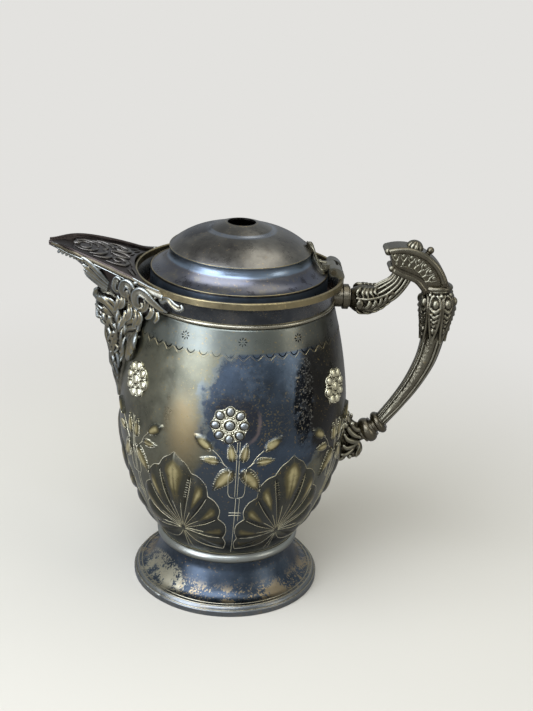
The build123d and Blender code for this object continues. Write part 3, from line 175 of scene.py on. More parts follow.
def bloom(metal, tone, amount, *limits):
    """Lays a colour over the metal, as much as amount. Each limit is a value with the two ends of its rise,
    from none to all, and the colour lies where all of them hold."""
    tree = metal["tree"]
    for value, none, full in limits:
        inputs = {"Value": value, "From Min": none, "From Max": full}
        share = add(tree, "ShaderNodeMapRange", inputs, interpolation_type="SMOOTHSTEP")
        amount = add(tree, "ShaderNodeMath", {0: share, 1: amount}, operation="MULTIPLY")
    inputs = {0: amount, 6: metal["colour"], 7: linear(tone)}
    metal["colour"] = add(tree, "ShaderNodeMix", inputs, MIX_OUT, data_type="RGBA")


def patch(metal, centre, radii, ragged=0.5):
    """How far a place lies from an oval patch's centre, as a share of its radii, torn by the mottle."""
    tree = metal["tree"]
    inward = add(tree, "ShaderNodeVectorMath", {0: metal["place"], 1: Vector(centre) * MM},
                 operation="SUBTRACT")
    scale = Vector([1 / (radius * MM) for radius in radii])
    scaled = add(tree, "ShaderNodeVectorMath", {0: inward, 1: scale}, operation="MULTIPLY")
    away = add(tree, "ShaderNodeVectorMath", {0: scaled}, "Value", operation="LENGTH")
    inputs = {0: metal["mottle"], 1: ragged, 2: away}
    torn = add(tree, "ShaderNodeMath", inputs, operation="MULTIPLY_ADD")
    return add(tree, "ShaderNodeMath", {0: torn, 1: 0.5 * ragged}, operation="SUBTRACT")


def fleck(metal, tone, amount, rarity=0.6):
    """Small specks of a colour, in drifts."""
    bloom(metal, tone, amount, (metal["grain"], rarity, rarity + 0.08), (metal["mottle"], 0.44, 0.6))


def close_metal(metal, roughness, bump=0.12):
    """Links the colour, a roughness that drifts with the mottle, and the scratches, to the shader."""
    tree = metal["tree"]
    shader = tree.nodes["Principled BSDF"]
    inputs = {"Value": metal["mottle"], "From Min": 0.3, "From Max": 0.7, "To Min": roughness[0],
              "To Max": roughness[1]}
    rough = add(tree, "ShaderNodeMapRange", inputs)
    stretched = add(tree, "ShaderNodeMapping", {"Vector": metal["shifted"], "Scale": (1.0, 1.0, 7.0)})
    inputs = {"Vector": stretched, "Scale": per_metre(SCRATCH_WIDTH), "Detail": 4.0}
    wiped = add(tree, "ShaderNodeTexNoise", inputs)
    relief = add(tree, "ShaderNodeMath", {0: metal["grain"], 1: 0.5, 2: wiped}, operation="MULTIPLY_ADD")
    inputs = {"Height": relief, "Strength": bump, "Distance": 0.3 * MM}
    tree.links.new(add(tree, "ShaderNodeBump", inputs), shader.inputs["Normal"])
    tree.links.new(rough, shader.inputs["Roughness"])
    tree.links.new(metal["colour"], shader.inputs["Base Color"])
    shader.inputs["Metallic"].default_value = 1.0


print("widths of the clouds:", CLOUD_WIDTH, MOTTLE_WIDTH, GRAIN_WIDTH, "mm")

# %% [markdown]
# ## Plate on the body
#
# The body's plate is olive grey. Its band at the neck is painted lighter, a painted highlight, and painted
# darker again towards the right, a painted shade where that highlight fades. A large blue-black stain spreads
# over the front from beside the rosette to the right, with a pale blue rim where the sulphide is thinnest,
# and it runs down between the leaves. Further right the colour turns black-brown, and olive near the right
# edge. A dark ring surrounds the front rosette, where soldering heat changed the metal, and a narrow pale
# pinkish-brown arc on its lower right is a painted highlight. Left of the rosette the plate is thin enough
# for the brass to show through. The beaten leaves are dark in their valleys, partly tarnish and partly
# painted shade, and worn to gold on their highest places, where the palest colour is a painted highlight.
# Both come from the mesh: a number called worn at each point, and a number called leaf that says
# where the beaten leaves are.

# %% Plate on the body
ROSETTE_HEIGHT = 148.0
body_plate, metal = start_metal(
    "tarnished_plate_body_with_painted_light",
    [(0.32, "#4a493c"), (0.44, "#626152"), (0.55, "#7a7865"), (0.68, "#5c5948")],
    seed=0.0,
)
tree = metal["tree"]
height = metal["height"]
thin = patch(metal, (-33, -69, 140), (15, 26, 32), 0.9)
bloom(metal, "#a08b62", 0.65, (thin, 1.1, 0.2))
right_of = add(tree, "ShaderNodeSeparateXYZ", {0: metal["place"]}, "X")
# The band at the neck is painted lighter, a painted highlight, and the next line paints its right part
# darker, a painted shade where that highlight fades.
bloom(metal, "#6c7370", 0.5, (height, 0.1905, 0.1935))
bloom(metal, "#55534a", 0.7, (height, 0.1905, 0.1925), (right_of, 0.012, 0.04))
right_side = patch(metal, (92, -30, 168), (61, 62, 78), 0.7)
far_right = patch(metal, (80, -20, 158), (20, 30, 66), 1.1)
under_border = (height, 0.1935, 0.1915)
stain = patch(metal, (25, -66, 156), (49, 50, 49), 0.6)
bloom(metal, "#6e787b", 0.45, (stain, 1.07, 1.0), under_border)
bloom(metal, "#404851", 0.94, (stain, 1.0, 0.91), under_border)
bloom(metal, "#54606c", 0.75, (metal["cloud"], 0.46, 0.6), (stain, 0.97, 0.8), under_border)
bloom(metal, "#66737f", 0.5, (metal["mottle"], 0.46, 0.6), (stain, 0.98, 0.8), (height, 0.155, 0.175),
      under_border)
bloom(metal, "#7d7358", 0.65, (metal["grain"], 0.53, 0.62), (metal["cloud"], 0.52, 0.42), (stain, 0.95, 0.8))
# Towards the right the colour turns black-brown, and olive near the right edge.
bloom(metal, "#2e2a22", 0.9, (right_side, 1.06, 0.85), (height, 0.199, 0.187))
bloom(metal, "#56533f", 0.75, (far_right, 1.0, 0.6))
ground = patch(metal, (2, -66, 92), (31, 40, 46), 0.4)
bloom(metal, "#4b545d", 0.88, (ground, 1.05, 0.9))
lower = patch(metal, (0, 0, 48), (70, 70, 13), 0.3)
bloom(metal, "#363c43", 0.8, (lower, 1.1, 0.8))
scales = patch(metal, (43, -61, 160), (8, 12, 33), 1.3)
bloom(metal, "#101011", 0.92, (scales, 1.1, 0.8), (metal["mottle"], 0.47, 0.5))
bloom(metal, "#8c8b82", 0.6, (scales, 1.0, 0.8), (metal["grain"], 0.56, 0.6))
far_side = patch(metal, (0, 80, 120), (95, 62, 100), 0.7)
bloom(metal, "#34353a", 0.75, (far_side, 1.0, 0.85))
ring = patch(metal, (0, -76, ROSETTE_HEIGHT + 2), (18, 18, 19), 0.3)
bloom(metal, "#3c3b3e", 0.6, (ring, 1.0, 0.7))
# The narrow pale pinkish-brown arc on the ring's lower right is a painted highlight.
bloom(metal, "#a58f84", 0.45, (ring, 0.98, 0.88), (ring, 0.76, 0.87), (right_of, 0.005, 0.013),
      (height, 0.16, 0.15))
leaf = add(tree, "ShaderNodeAttribute", give="Fac", attribute_name="leaf")
bloom(metal, "#4b4a40", 0.85, (leaf, 0.3, 0.8))
fleck(metal, "#a88f5a", 0.8)
fleck(metal, "#14161b", 0.5, 0.64)
worn = metal["worn"]
wear_and_highlight = add(tree, "ShaderNodeMath", {0: metal["mottle"], 1: 0.8, 2: worn}, operation="MULTIPLY_ADD")
# Dark in the valleys is partly tarnish and partly painted shade; over the worn gold on the crests, the palest
# colour is a painted highlight.
bloom(metal, "#1f1d16", 0.75, (worn, -0.1, -0.9))
bloom(metal, "#80754e", 0.8, (wear_and_highlight, 0.5, 1.0))
bloom(metal, "#e6d69c", 0.9, (wear_and_highlight, 0.9, 1.5))
close_metal(metal, (0.24, 0.4))
print("material:", body_plate.name)

# %% [markdown]
# ## Plate on the foot and the lid
#
# The foot went almost wholly blue-black, except near its ring, where cloths and tabletops wore it down to
# tan metal in ragged islands, and the pale band on its waist bead is a painted highlight. The lid is
# brown-grey on its dome and blue in the hollow round it, a blue that is partly tarnish and partly a painted
# reflection. It is violet on the brim, and its skirt inside the mouth, dark metal, is painted pale blue-grey
# to make up for the shade there. These bands follow the height, and the tarnish in them collects where a
# cloth doesn't reach.

# %% Plate on the foot and the lid
foot_plate, metal = start_metal(
    "tarnished_plate_foot_with_painted_highlight",
    [(0.34, "#343b42"), (0.46, "#434b53"), (0.56, "#5a636a"), (0.7, "#454a4e")],
    seed=3.0,
)
tree = metal["tree"]
height = metal["height"]
torn = add(tree, "ShaderNodeMath", {0: metal["grain"], 1: 0.6, 2: metal["mottle"]}, operation="MULTIPLY_ADD")
bloom(metal, "#988768", 0.85, (torn, 0.795, 0.83), (height, 0.018, 0.0095))
left = patch(metal, (-52, -34, 12), (24, 36, 12), 1.3)
bloom(metal, "#b3ac93", 0.85, (left, 1.05, 0.85), (torn, 0.72, 0.79))
bloom(metal, "#7c7e7b", 0.8, (height, 0.0072, 0.0066))
# The pale band on the waist bead is a painted highlight.
bloom(metal, "#a2a296", 0.85, (height, 0.0302, 0.0312))
fleck(metal, "#8d7853", 0.75)
close_metal(metal, (0.26, 0.42))

lid_plate, metal = start_metal(
    "tarnished_plate_lid_with_painted_light",
    [(0.34, "#4a4642"), (0.46, "#605c54"), (0.58, "#79756b"), (0.7, "#544f48")],
    seed=7.0,
)
tree = metal["tree"]
height = metal["height"]
waved = add(tree, "ShaderNodeMath", {0: metal["mottle"], 1: 0.0012, 2: height}, operation="MULTIPLY_ADD")
# The blue of the hollow round the dome is partly blue tarnish and partly a painted reflection.
bloom(metal, "#7b8894", 0.9, (waved, 0.2432, 0.2418))
bloom(metal, "#5a5553", 0.85, (waved, 0.2368, 0.2356))
bloom(metal, "#585b66", 0.85, (waved, 0.2352, 0.2335), (metal["cloud"], 0.42, 0.6))
bloom(metal, "#76705f", 0.4, (waved, 0.2352, 0.2335), (metal["mottle"], 0.53, 0.6))
bloom(metal, "#2f2c30", 0.6, (waved, 0.2352, 0.2335), (metal["mottle"], 0.44, 0.38))
# The skirt inside the mouth is painted pale blue-grey, lighter than its dark metal, to make up for the shade
# in the mouth.
bloom(metal, "#8b98a6", 0.95, (waved, 0.2275, 0.2268))
bloom(metal, "#8b9198", 0.6, (height, 0.2535, 0.2539), (height, 0.2551, 0.2547))
dark_side = patch(metal, (-26, 6, 250), (15, 22, 9), 0.9)
bloom(metal, "#1d1b1e", 0.8, (dark_side, 1.0, 0.7))
fleck(metal, "#a08a66", 0.7)
close_metal(metal, (0.24, 0.38))
print("materials:", foot_plate.name, lid_plate.name)

# %% [markdown]
# ## The other metals
#
# The cast parts are a soft white metal of tin and lead, which the plate never covered well. They have gone
# dark bronze-brown and black in the hollows, and are lighter on the ridges that hands touch, where the palest
# colour is a painted highlight. The number called worn tells ridges from hollows there as well. The
# rim and the edge of the spout are rubbed to brass. The rosettes were gilded and have kept a pale gold, with
# beads that stayed silver. The metal inside the mouth is brown.

# %% The other metals
cast_metal, metal = start_metal(
    "cast_white_metal",
    [(0.32, "#3c372d"), (0.45, "#524c3f"), (0.58, "#686150"), (0.72, "#494438")],
    seed=11.0,
)
inputs = {0: metal["mottle"], 1: 0.4, 2: metal["worn"]}
torn = add(metal["tree"], "ShaderNodeMath", inputs, operation="MULTIPLY_ADD")
bloom(metal, "#14120e", 0.9, (torn, 0.16, -0.3))
bloom(metal, "#8b8671", 0.75, (torn, 0.35, 0.75))
# The lighter ridges are worn metal, and their palest colour is a painted highlight.
bloom(metal, "#bdb8a1", 0.8, (torn, 0.75, 1.3))
fleck(metal, "#8f7d55", 0.5)
close_metal(metal, (0.24, 0.36), bump=0.2)

spout_metal, metal = start_metal(
    "cast_white_metal_spout",
    [(0.32, "#4c4940"), (0.45, "#6c695c"), (0.58, "#8b8675"), (0.72, "#5c574b")],
    seed=15.0,
)
inputs = {0: metal["mottle"], 1: 0.4, 2: metal["worn"]}
torn = add(metal["tree"], "ShaderNodeMath", inputs, operation="MULTIPLY_ADD")
bloom(metal, "#a08e5e", 0.7, (metal["cloud"], 0.46, 0.62), (torn, 0.1, 0.5))
bloom(metal, "#15130f", 0.92, (torn, 0.16, -0.3))
# The lighter ridges are worn metal, and their palest colour is a painted highlight.
bloom(metal, "#868d8e", 0.7, (torn, 0.4, 0.9))
bloom(metal, "#c0c1b4", 0.75, (torn, 0.85, 1.4))
close_metal(metal, (0.26, 0.4), bump=0.2)

cover_metal, metal = start_metal(
    "brown_spout_plate",
    [(0.32, "#302a27"), (0.45, "#3f3834"), (0.58, "#504842"), (0.72, "#37302c")],
    seed=17.0,
)
bloom(metal, "#15110f", 0.85, (metal["worn"], -0.05, -0.6))
# The lighter raised parts of the relief are a painted highlight.
bloom(metal, "#7b776e", 0.55, (metal["worn"], 0.3, 0.9))
close_metal(metal, (0.28, 0.42), bump=0.2)

brass_edge, metal = start_metal(
    "plate_worn_to_brass",
    [(0.33, "#625a49"), (0.45, "#807558"), (0.57, "#9a8c68"), (0.7, "#6c634f")],
    seed=5.0,
)
fleck(metal, "#d8bf86", 0.6, 0.56)
close_metal(metal, (0.26, 0.4))

gilt, metal = start_metal(
    "pale_gilt_casting",
    [(0.33, "#a9a07c"), (0.46, "#cdc5a3"), (0.58, "#e8e2c6"), (0.7, "#b9af8b")],
    seed=9.0,
)
bloom(metal, "#1f1a12", 0.95, (metal["worn"], 0.0, -0.6))
close_metal(metal, (0.28, 0.42), bump=0.25)

PLAIN_METALS = {
    "plate_dulled_on_brass":
        ([(0.33, "#453f33"), (0.45, "#5d5544"), (0.57, "#746a54"), (0.7, "#4e4739")], 5.5, (0.36, 0.5), 0.2),
    "bright_cut_brass":
        ([(0.33, "#b3a67c"), (0.46, "#d8cda4"), (0.58, "#f3ecce"), (0.7, "#c2b68c")], 8.0, (0.42, 0.55),
         0.05),
    "black_in_punch_marks": ([(0.35, "#0b0b0c"), (0.6, "#151616")], 4.0, (0.6, 0.8), 0.12),
    "silver_beads": ([(0.35, "#6d706f"), (0.5, "#919490"), (0.65, "#b0b0a8")], 2.0, (0.24, 0.36), 0.08),
    "dull_inner_sheet": ([(0.33, "#2c211a"), (0.5, "#47352a"), (0.68, "#63492f")], 13.0, (0.42, 0.58), 0.12),
}
plain_metals = []
for name, (clouds, seed, roughness, bump) in PLAIN_METALS.items():
    material, metal = start_metal(name, clouds, seed)
    close_metal(metal, roughness, bump)
    plain_metals.append(material)
dull_brass, bright_cut, punched, silver_bead, inner_metal = plain_metals

collar_plate, metal = start_metal(
    "tarnished_plate_collar_with_painted_highlight",
    [(0.33, "#38393a"), (0.45, "#4c4e4f"), (0.57, "#62615e"), (0.7, "#474644")],
    seed=6.0,
)
# Below the collar this pale colour is a painted highlight on the neck bead; the foot's thin lines, which wear
# the same metal, take it too.
bloom(metal, "#aaa28a", 0.8, (metal["height"], 0.2112, 0.2104))
fleck(metal, "#a48f66", 0.7)
close_metal(metal, (0.2, 0.34))
print("materials:", len(bpy.data.materials))

# %% [markdown]
# ## Who wears which metal
#
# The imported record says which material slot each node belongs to, and the slots decide the finish. A few
# nodes in the plated slot have a plate of their own.

# %% Assign the metals
SLOT_FINISH = {
    "tarnished_plate": body_plate,
    "cast_white_metal": cast_metal,
    "inner_metal": inner_metal,
    "worn_brass": brass_edge,
    "gilt_casting": gilt,
}
OWN_FINISH = {
    "spout_trough": cover_metal,
    "spout_cover": cover_metal,
    "hinge_leaf": spout_metal,
    "hinge_bracket": spout_metal,
    "foot_ring": foot_plate,
    "foot_flare": foot_plate,
    "waist_bead": foot_plate,
    "lid_shell": lid_plate,
    "lid_flange": lid_plate,
    "collar": collar_plate,
    "neck_bead": collar_plate,
}
for entry in frame["record"]["subparts"]:
    finish = OWN_FINISH.get(entry["node"], SLOT_FINISH[entry["material_slot"]])
    nodes[entry["node"]].data.materials.clear()
    nodes[entry["node"]].data.materials.append(finish)
print("nodes with a plate of their own:", len(OWN_FINISH))

# %% [markdown]
# ## Helpers for shapes
#
# Every piece below is made from points and faces. One function turns them to an object that rides on its
# body and stands for the nodes it replaces. One makes the faces between rows of points, and one runs a
# smooth curve through a few given places, which may carry more numbers than a position, such as a radius.

# %% Helpers for shapes
SHORTEST = 1e-6


def piece(name, points, faces, finishes, slot, body="pitcher", stands_for=(), kinds=None, **marks):
    """Makes one piece from points in millimetres. kinds is a finish's number per face, and a mark, such as
    worn, is a number per point that a material reads."""
    mesh = bpy.data.meshes.new(name)
    mesh.from_pydata((np.asarray(points) * MM).tolist(), [], faces)
    for finish in finishes:
        mesh.materials.append(finish)
    if kinds is not None:
        mesh.polygons.foreach_set("material_index", np.asarray(kinds, np.int32))
    for mark, values in marks.items():
        mesh.attributes.new(mark, "FLOAT", "POINT").data.foreach_set("value", np.asarray(values, np.float32))
    mesh.calc_loop_triangles()
    corners = np.empty(len(mesh.loop_triangles) * 3, np.int32)
    mesh.loop_triangles.foreach_get("vertices", corners)
    first, second, third = np.asarray(points)[corners.reshape(-1, 3)].transpose(1, 0, 2)
    if (first * np.cross(second, third)).sum() < 0:
        mesh.flip_normals()
    mesh.shade_smooth()
    made = bpy.data.objects.new(name, mesh)
    bpy.context.scene.collection.objects.link(made)
    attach(made, body)
    if stands_for:
        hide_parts(*stands_for)
    print(name, len(mesh.vertices), "points")
    return made


def between(rows, columns, around=True):
    """Quads between rows of points. around joins the last column to the first."""
    last = columns if around else columns - 1
    row, column = np.meshgrid(np.arange(rows - 1), np.arange(last), indexing="ij")
    here = row * columns + column
    there = row * columns + (column + 1) % columns
    return np.stack([here, there, there + columns, here + columns], axis=-1).reshape(-1, 4)


def skin_faces(rows, columns):
    """Quads round rows of points, and a cap on the first and the last row."""
    last = (rows - 1) * columns
    caps = [list(range(columns))[::-1], list(range(last, last + columns))]
    return between(rows, columns).tolist() + caps


def unit(vectors):
    """Rows of vectors, each shortened to length 1."""
    return vectors / np.maximum(np.linalg.norm(vectors, axis=1), SHORTEST)[:, None]


def smooth(rows, step=1.0):
    """Runs a curve through rows of numbers, with a new row about every step along it."""
    rows = np.asarray(rows, float)
    ends = np.vstack([2 * rows[0] - rows[1], rows, 2 * rows[-1] - rows[-2]])
    found = []
    for before, start, end, after in zip(ends, ends[1:], ends[2:], ends[3:]):
        count = max(2, int(np.ceil(np.linalg.norm((end - start)[:3]) / step)))
        t = (np.arange(count) / count)[:, None]
        square = 2 * before - 5 * start + 4 * end - after
        cube = 3 * start - before - 3 * end + after
        found.append(0.5 * (2 * start + (end - before) * t + square * t ** 2 + cube * t ** 3))
    return np.vstack(found + [rows[-1:]])


def eased(value):
    """A share from 0 to 1 that starts and ends softly."""
    value = np.clip(value, 0, 1)
    return value * value * (3 - 2 * value)


print("curve check:", smooth([(0, 0), (3, 4), (9, 4)], 2.0).shape)

# %% [markdown]
# ## The jacket's outline
#
# The chased work lies on the jacket, so its radius is needed at every height. It is read from the frame by
# rays that hit the jacket from the front, and a polynomial through those hits has no facets. A place on the
# jacket is given by degrees round from the front and millimetres up, with a lift out of the surface.

# %% The jacket's outline
JACKET_LOW = 38.0
JACKET_HIGH = 208.0


def jacket_hit(height):
    """The jacket's radius at a height, where a ray from the front hits it."""
    _, place, _, _ = nodes["outer_jacket"].ray_cast(Vector((30 * MM, -0.3, height * MM)), Vector((0, 1, 0)))
    return hypot(place.x, place.y) / MM


hit_heights = np.linspace(JACKET_LOW + 0.2, JACKET_HIGH - 0.2, 150)
hit_radii = np.array([jacket_hit(height) for height in hit_heights])
jacket_line = np.polynomial.Polynomial.fit(hit_heights, hit_radii, 11)
jacket_slope = jacket_line.deriv()
print("jacket: outline within", round(float(np.abs(jacket_line(hit_heights) - hit_radii).max()), 3),
      "mm of the frame")


def on_jacket(degrees, height, lift=0.0):
    """Places on the jacket, as rows of x, y and z."""
    degrees, height, lift = np.broadcast_arrays(np.asarray(degrees, float), height, lift)
    slope = jacket_slope(height)
    steep = np.sqrt(1 + slope ** 2)
    radius = jacket_line(height) + lift / steep
    turned = np.radians(degrees)
    return np.stack([radius * np.sin(turned), -radius * np.cos(turned), height - lift * slope / steep],
                    axis=-1)


# %% [markdown]
# ## The pattern on the jacket
#
# The pattern repeats six times round the body. Between two stems stands a fan of palmate lobes, each beaten
# up from behind like a pillow, and beside each stem grows a spray with one bud and three leaves. A fan is
# described by the line round half of it, given in degrees from its axis and millimetres of height, from
# cusp to cusp. A leaf is its base, its tip and half its width. Chasers drew such work with dividers and
# repeated it by eye.

# %% The pattern's places
REPEAT = 60.0
STEM_SHIFT = 1.7
HUB_HEIGHT = 61.5
FAN_LOBES = [
    [(0, 124.2), (2.6, 120.8), (6.4, 117.0), (9.2, 111.0)],
    [(9.2, 111.0), (13.0, 109.0), (16.6, 103.0), (17.4, 94.8)],
    [(17.4, 94.8), (21.2, 91.0), (23.6, 84.0), (22.7, 76.5)],
    [(22.7, 76.5), (26.6, 71.5), (27.3, 64.5), (25.6, 58.0)],
    [(25.6, 58.0), (27.2, 52.5), (26.0, 46.0)],
]
FAN_SWELL = np.array([2.3, 2.2, 2.0, 1.8, 1.2])
FAN_WEAR_AND_SHEEN = np.array([1.0, 0.95, 0.8, 0.62, 0.4])
SPRAY = {
    "bud": ((12.7, 131.0), (21.0, 139.0), 3.7),
    "side_leaf": ((8.6, 122.6), (18.4, 123.6), 3.1),
    "upper_leaf": ((2.4, 123.0), (4.0, 136.6), 3.3),
    "lower_leaf": ((2.4, 117.4), (11.9, 100.4), 5.4),
}
SPRAY_SWELL = {"bud": 1.9, "side_leaf": 1.2, "upper_leaf": 1.2, "lower_leaf": 1.5}


def from_hub(aside, height):
    """Turns a place on a fan to an angle round its hub, 0 being up, and a distance from it."""
    across = np.radians(aside) * jacket_line(height)
    rise = height - HUB_HEIGHT
    return np.degrees(np.arctan2(across, rise)), np.hypot(across, rise)


fan_line = np.vstack([smooth(lobe, 0.7) for lobe in FAN_LOBES])
line_turn, line_reach = from_hub(fan_line[:, 0], fan_line[:, 1])
line_turn = np.maximum.accumulate(line_turn + np.arange(len(line_turn)) * 1e-6)
cusp_turns = [from_hub(np.array(lobe[-1][0]), np.array(lobe[-1][1]))[0] for lobe in FAN_LOBES]
valleys = np.array([-cusp_turns[0]] + cusp_turns)
print("fan: valleys at", np.round(valleys, 1), "degrees")


def fan_field(aside, height):
    """How far a place on a fan stands out, its wear with painted highlight and shade, and whether it is on
    the fan.
    """
    turn, away = from_hub(aside, height)
    share = away / np.interp(turn, line_turn, line_reach)
    lobe = np.clip(np.searchsorted(valleys, turn) - 1, 0, len(FAN_LOBES) - 1)
    low, high = valleys[lobe], valleys[lobe + 1]
    across = np.clip(2 * (turn - low) / (high - low) - 1, -1, 1)
    inside = (share < 1) & (turn < valleys[-1])
    swell = eased((share - 0.12) / 0.55) * (1 - np.clip((share - 0.72) / 0.28, 0, 1) ** 2.6)
    pillow = (1 - np.abs(across) ** 2.2) * swell * inside
    crest = np.clip(1 - np.abs(across - 0.12) / (0.15 + 0.75 * share ** 2), 0, 1)
    crest = crest * eased((share - 0.3) / 0.45) * eased((0.98 - share) / 0.16) * FAN_WEAR_AND_SHEEN[lobe]
    valley = np.abs(across) ** 5 * eased((share - 0.1) / 0.3) * eased((1.0 - share) / 0.1)
    return FAN_SWELL[lobe] * pillow, (crest - 0.8 * valley) * inside, inside * 1.0


def leaf_frame(leaf):
    """A leaf's base, direction, length and scale in millimetres."""
    (base_aside, base_height), (tip_aside, tip_height), _ = leaf
    scale = radians(1) * jacket_line(0.5 * (base_height + tip_height))
    run = np.array([(tip_aside - base_aside) * scale, tip_height - base_height])
    return np.array([base_aside * scale, base_height]), run / np.linalg.norm(run), np.linalg.norm(run), scale


def leaf_breadth(name, along):
    """Half the width of a leaf or bud at a share of its length."""
    along = np.clip(along, 0, 1)
    belly = 0.85 if name == "bud" else 0.62
    return SPRAY[name][2] * np.sin(pi * along ** belly) ** (0.6 if name == "bud" else 0.85)


def spray_field(aside, height):
    """How far a place on a spray stands out, its wear with a painted highlight at each leaf's middle, and
    whether it is on a leaf.
    """
    rise, bright = np.zeros_like(aside), np.zeros_like(aside)
    for name, leaf in SPRAY.items():
        base, run, length, scale = leaf_frame(leaf)
        across_mm = aside * scale - base[0]
        up_mm = height - base[1]
        along = (across_mm * run[0] + up_mm * run[1]) / length
        off = np.abs(up_mm * run[0] - across_mm * run[1])
        room = np.maximum(leaf_breadth(name, along), 0.01)
        inside = np.clip(1 - (off / room) ** 2, 0, 1) * ((along > 0) & (along < 1))
        swell = inside ** 0.7
        if name != "bud":
            swell = swell - 0.22 * np.exp(-(off / 0.7) ** 2) * (inside > 0)
        rise = np.maximum(rise, SPRAY_SWELL[name] * swell)
        bright = np.maximum(bright, 0.95 * inside ** 1.3 * eased((1 - np.abs(2 * along - 0.9)) / 0.7))
    return rise, bright, (rise > 0) * 1.0


def jacket_fields(degrees, height):
    """The chased relief, its wear with painted highlight and shade, and the mark of its leaves at any place
    on the jacket.
    """
    near_stem = (np.asarray(degrees, float) + REPEAT / 2) % REPEAT - REPEAT / 2
    fan_rise, fan_worn, on_fan = fan_field(REPEAT / 2 - np.abs(near_stem), height)
    spray_rise, spray_worn, on_spray = spray_field(np.abs(near_stem - STEM_SHIFT), height)
    worn = np.where(on_spray > 0, spray_worn, fan_worn)
    return np.maximum(fan_rise, spray_rise), worn, np.maximum(on_fan, on_spray)


rise, worn, _ = jacket_fields(np.array([30.0, 30.0, 0.0]), np.array([108.0, 70.0, 100.0]))
print("relief on a lobe, near the hub and on the stem:", np.round(rise, 2), np.round(worn, 2))

# %% [markdown]
# ## The chased jacket
#
# The jacket is one sheet with an outside and an inside, joined at the foot and at the neck. The outside has
# a fine net where the chasing is, with points under a millimetre apart, and a coarse one above. A few of
# its cells are left out where the water's sleeve passes through, and the walls of that window are closed
# with short faces.

# %% The chased jacket
JACKET_COLUMNS = 516
SHEET = 1.2
CHASED_TOP = 140.5
WINDOW_MIDDLE = 198.5
WINDOW_HALF = (19.3, 7.3)
WINDOW_ROUND = 6.4

chased_rows = np.linspace(JACKET_LOW, CHASED_TOP, 128)
plain_rows = np.linspace(CHASED_TOP, JACKET_HIGH, 36)[1:]
row_heights = np.concatenate([chased_rows, plain_rows])
column_turns = np.arange(JACKET_COLUMNS) * 360 / JACKET_COLUMNS
turn_grid, height_grid = np.meshgrid(column_turns, row_heights)
rise_grid, worn_grid, leaf_grid = jacket_fields(turn_grid, height_grid)
hammer = 0.05 * np.sin(np.radians(turn_grid * 5) + height_grid / 17) * np.sin(height_grid / 11)
outside = on_jacket(turn_grid, height_grid, rise_grid + hammer)
inside = on_jacket(turn_grid, height_grid, -SHEET)
inside_step = 12
inside_rows = sorted(set(range(0, len(row_heights), inside_step)) | {len(row_heights) - 1})

middle_heights = 0.5 * (row_heights[1:] + row_heights[:-1])
middle_turns = column_turns + 180 / JACKET_COLUMNS
cell_turn, cell_height = np.meshgrid(middle_turns, middle_heights)
sideways = np.radians(cell_turn - 270) * jacket_line(cell_height)
past_side = np.maximum(np.abs(sideways) - (WINDOW_HALF[0] - WINDOW_ROUND), 0)
past_top = np.maximum(np.abs(cell_height - WINDOW_MIDDLE) - (WINDOW_HALF[1] - WINDOW_ROUND), 0)
open_cells = np.hypot(past_side, past_top) < WINDOW_ROUND
first_row, last_row = np.flatnonzero(open_cells.any(axis=1))[[0, -1]]
window_rows = list(range(first_row, last_row + 2))
inside_rows = ([row for row in inside_rows if row < first_row] + window_rows
               + [row for row in inside_rows if row > last_row + 1])

outside_quads = between(len(row_heights), JACKET_COLUMNS)[~open_cells.ravel()]
inside_index = {row: len(row_heights) + number for number, row in enumerate(inside_rows)}
inside_open = np.array([open_cells[row] if after == row + 1 and row <= last_row
                        else np.zeros(JACKET_COLUMNS, bool)
                        for row, after in zip(inside_rows, inside_rows[1:])])
inside_quads = between(len(inside_rows), JACKET_COLUMNS)[~inside_open.ravel()][:, ::-1]
inside_quads = inside_quads + len(row_heights) * JACKET_COLUMNS
walls = []
for row in range(first_row - 1, last_row + 2):
    for column in range(JACKET_COLUMNS):
        beside = (column + 1) % JACKET_COLUMNS
        if open_cells[row, column] != open_cells[row - 1, column]:
            low_side = [row * JACKET_COLUMNS + column, row * JACKET_COLUMNS + beside]
            far = inside_index[row] * JACKET_COLUMNS
            wall = [low_side[0], low_side[1], far + beside, far + column]
            walls.append(wall if open_cells[row, column] else wall[::-1])
        if open_cells[row, column] != open_cells[row, beside]:
            far, farther = inside_index.get(row), inside_index.get(row + 1)
            wall = [row * JACKET_COLUMNS + beside, (row + 1) * JACKET_COLUMNS + beside,
                    farther * JACKET_COLUMNS + beside, far * JACKET_COLUMNS + beside]
            walls.append(wall if open_cells[row, column] else wall[::-1])
columns = np.arange(JACKET_COLUMNS)
for outer_row, inner_row, flip in ((0, inside_index[0], 1),
                                   (len(row_heights) - 1, inside_index[inside_rows[-1]], -1)):
    outer = outer_row * JACKET_COLUMNS
    inner = inner_row * JACKET_COLUMNS
    edge = np.stack([outer + (columns + 1) % JACKET_COLUMNS, outer + columns, inner + columns,
                     inner + (columns + 1) % JACKET_COLUMNS], axis=-1)
    walls += edge[:, ::flip].tolist()
points = np.vstack([outside.reshape(-1, 3), inside[inside_rows].reshape(-1, 3)])
no_marks = np.zeros(len(inside_rows) * JACKET_COLUMNS)
worn = np.concatenate([worn_grid.ravel(), no_marks])
leaf = np.concatenate([leaf_grid.ravel(), no_marks])
faces = outside_quads.tolist() + inside_quads.tolist() + walls
piece("chased_jacket", points, faces, [body_plate], "tarnished_plate", stands_for=["outer_jacket"], worn=worn,
      leaf=leaf)
print("jacket: triangles", 2 * len(faces), "cells left out for the sleeve", int(open_cells.sum()))

# %% [markdown]
# ## Chased lines
#
# A bright cut is made by a polished graver that leaves a narrow facet, and in tarnished plate it is the
# facet that still shines. At the size of a picture such a line is all highlight, so each is a narrow
# crowned ribbon on the surface, which is about half a millimetre wide and catches the light at every angle.
# The ribbons follow the relief, thin out at their ends, and are made for one repeat and turned six times.

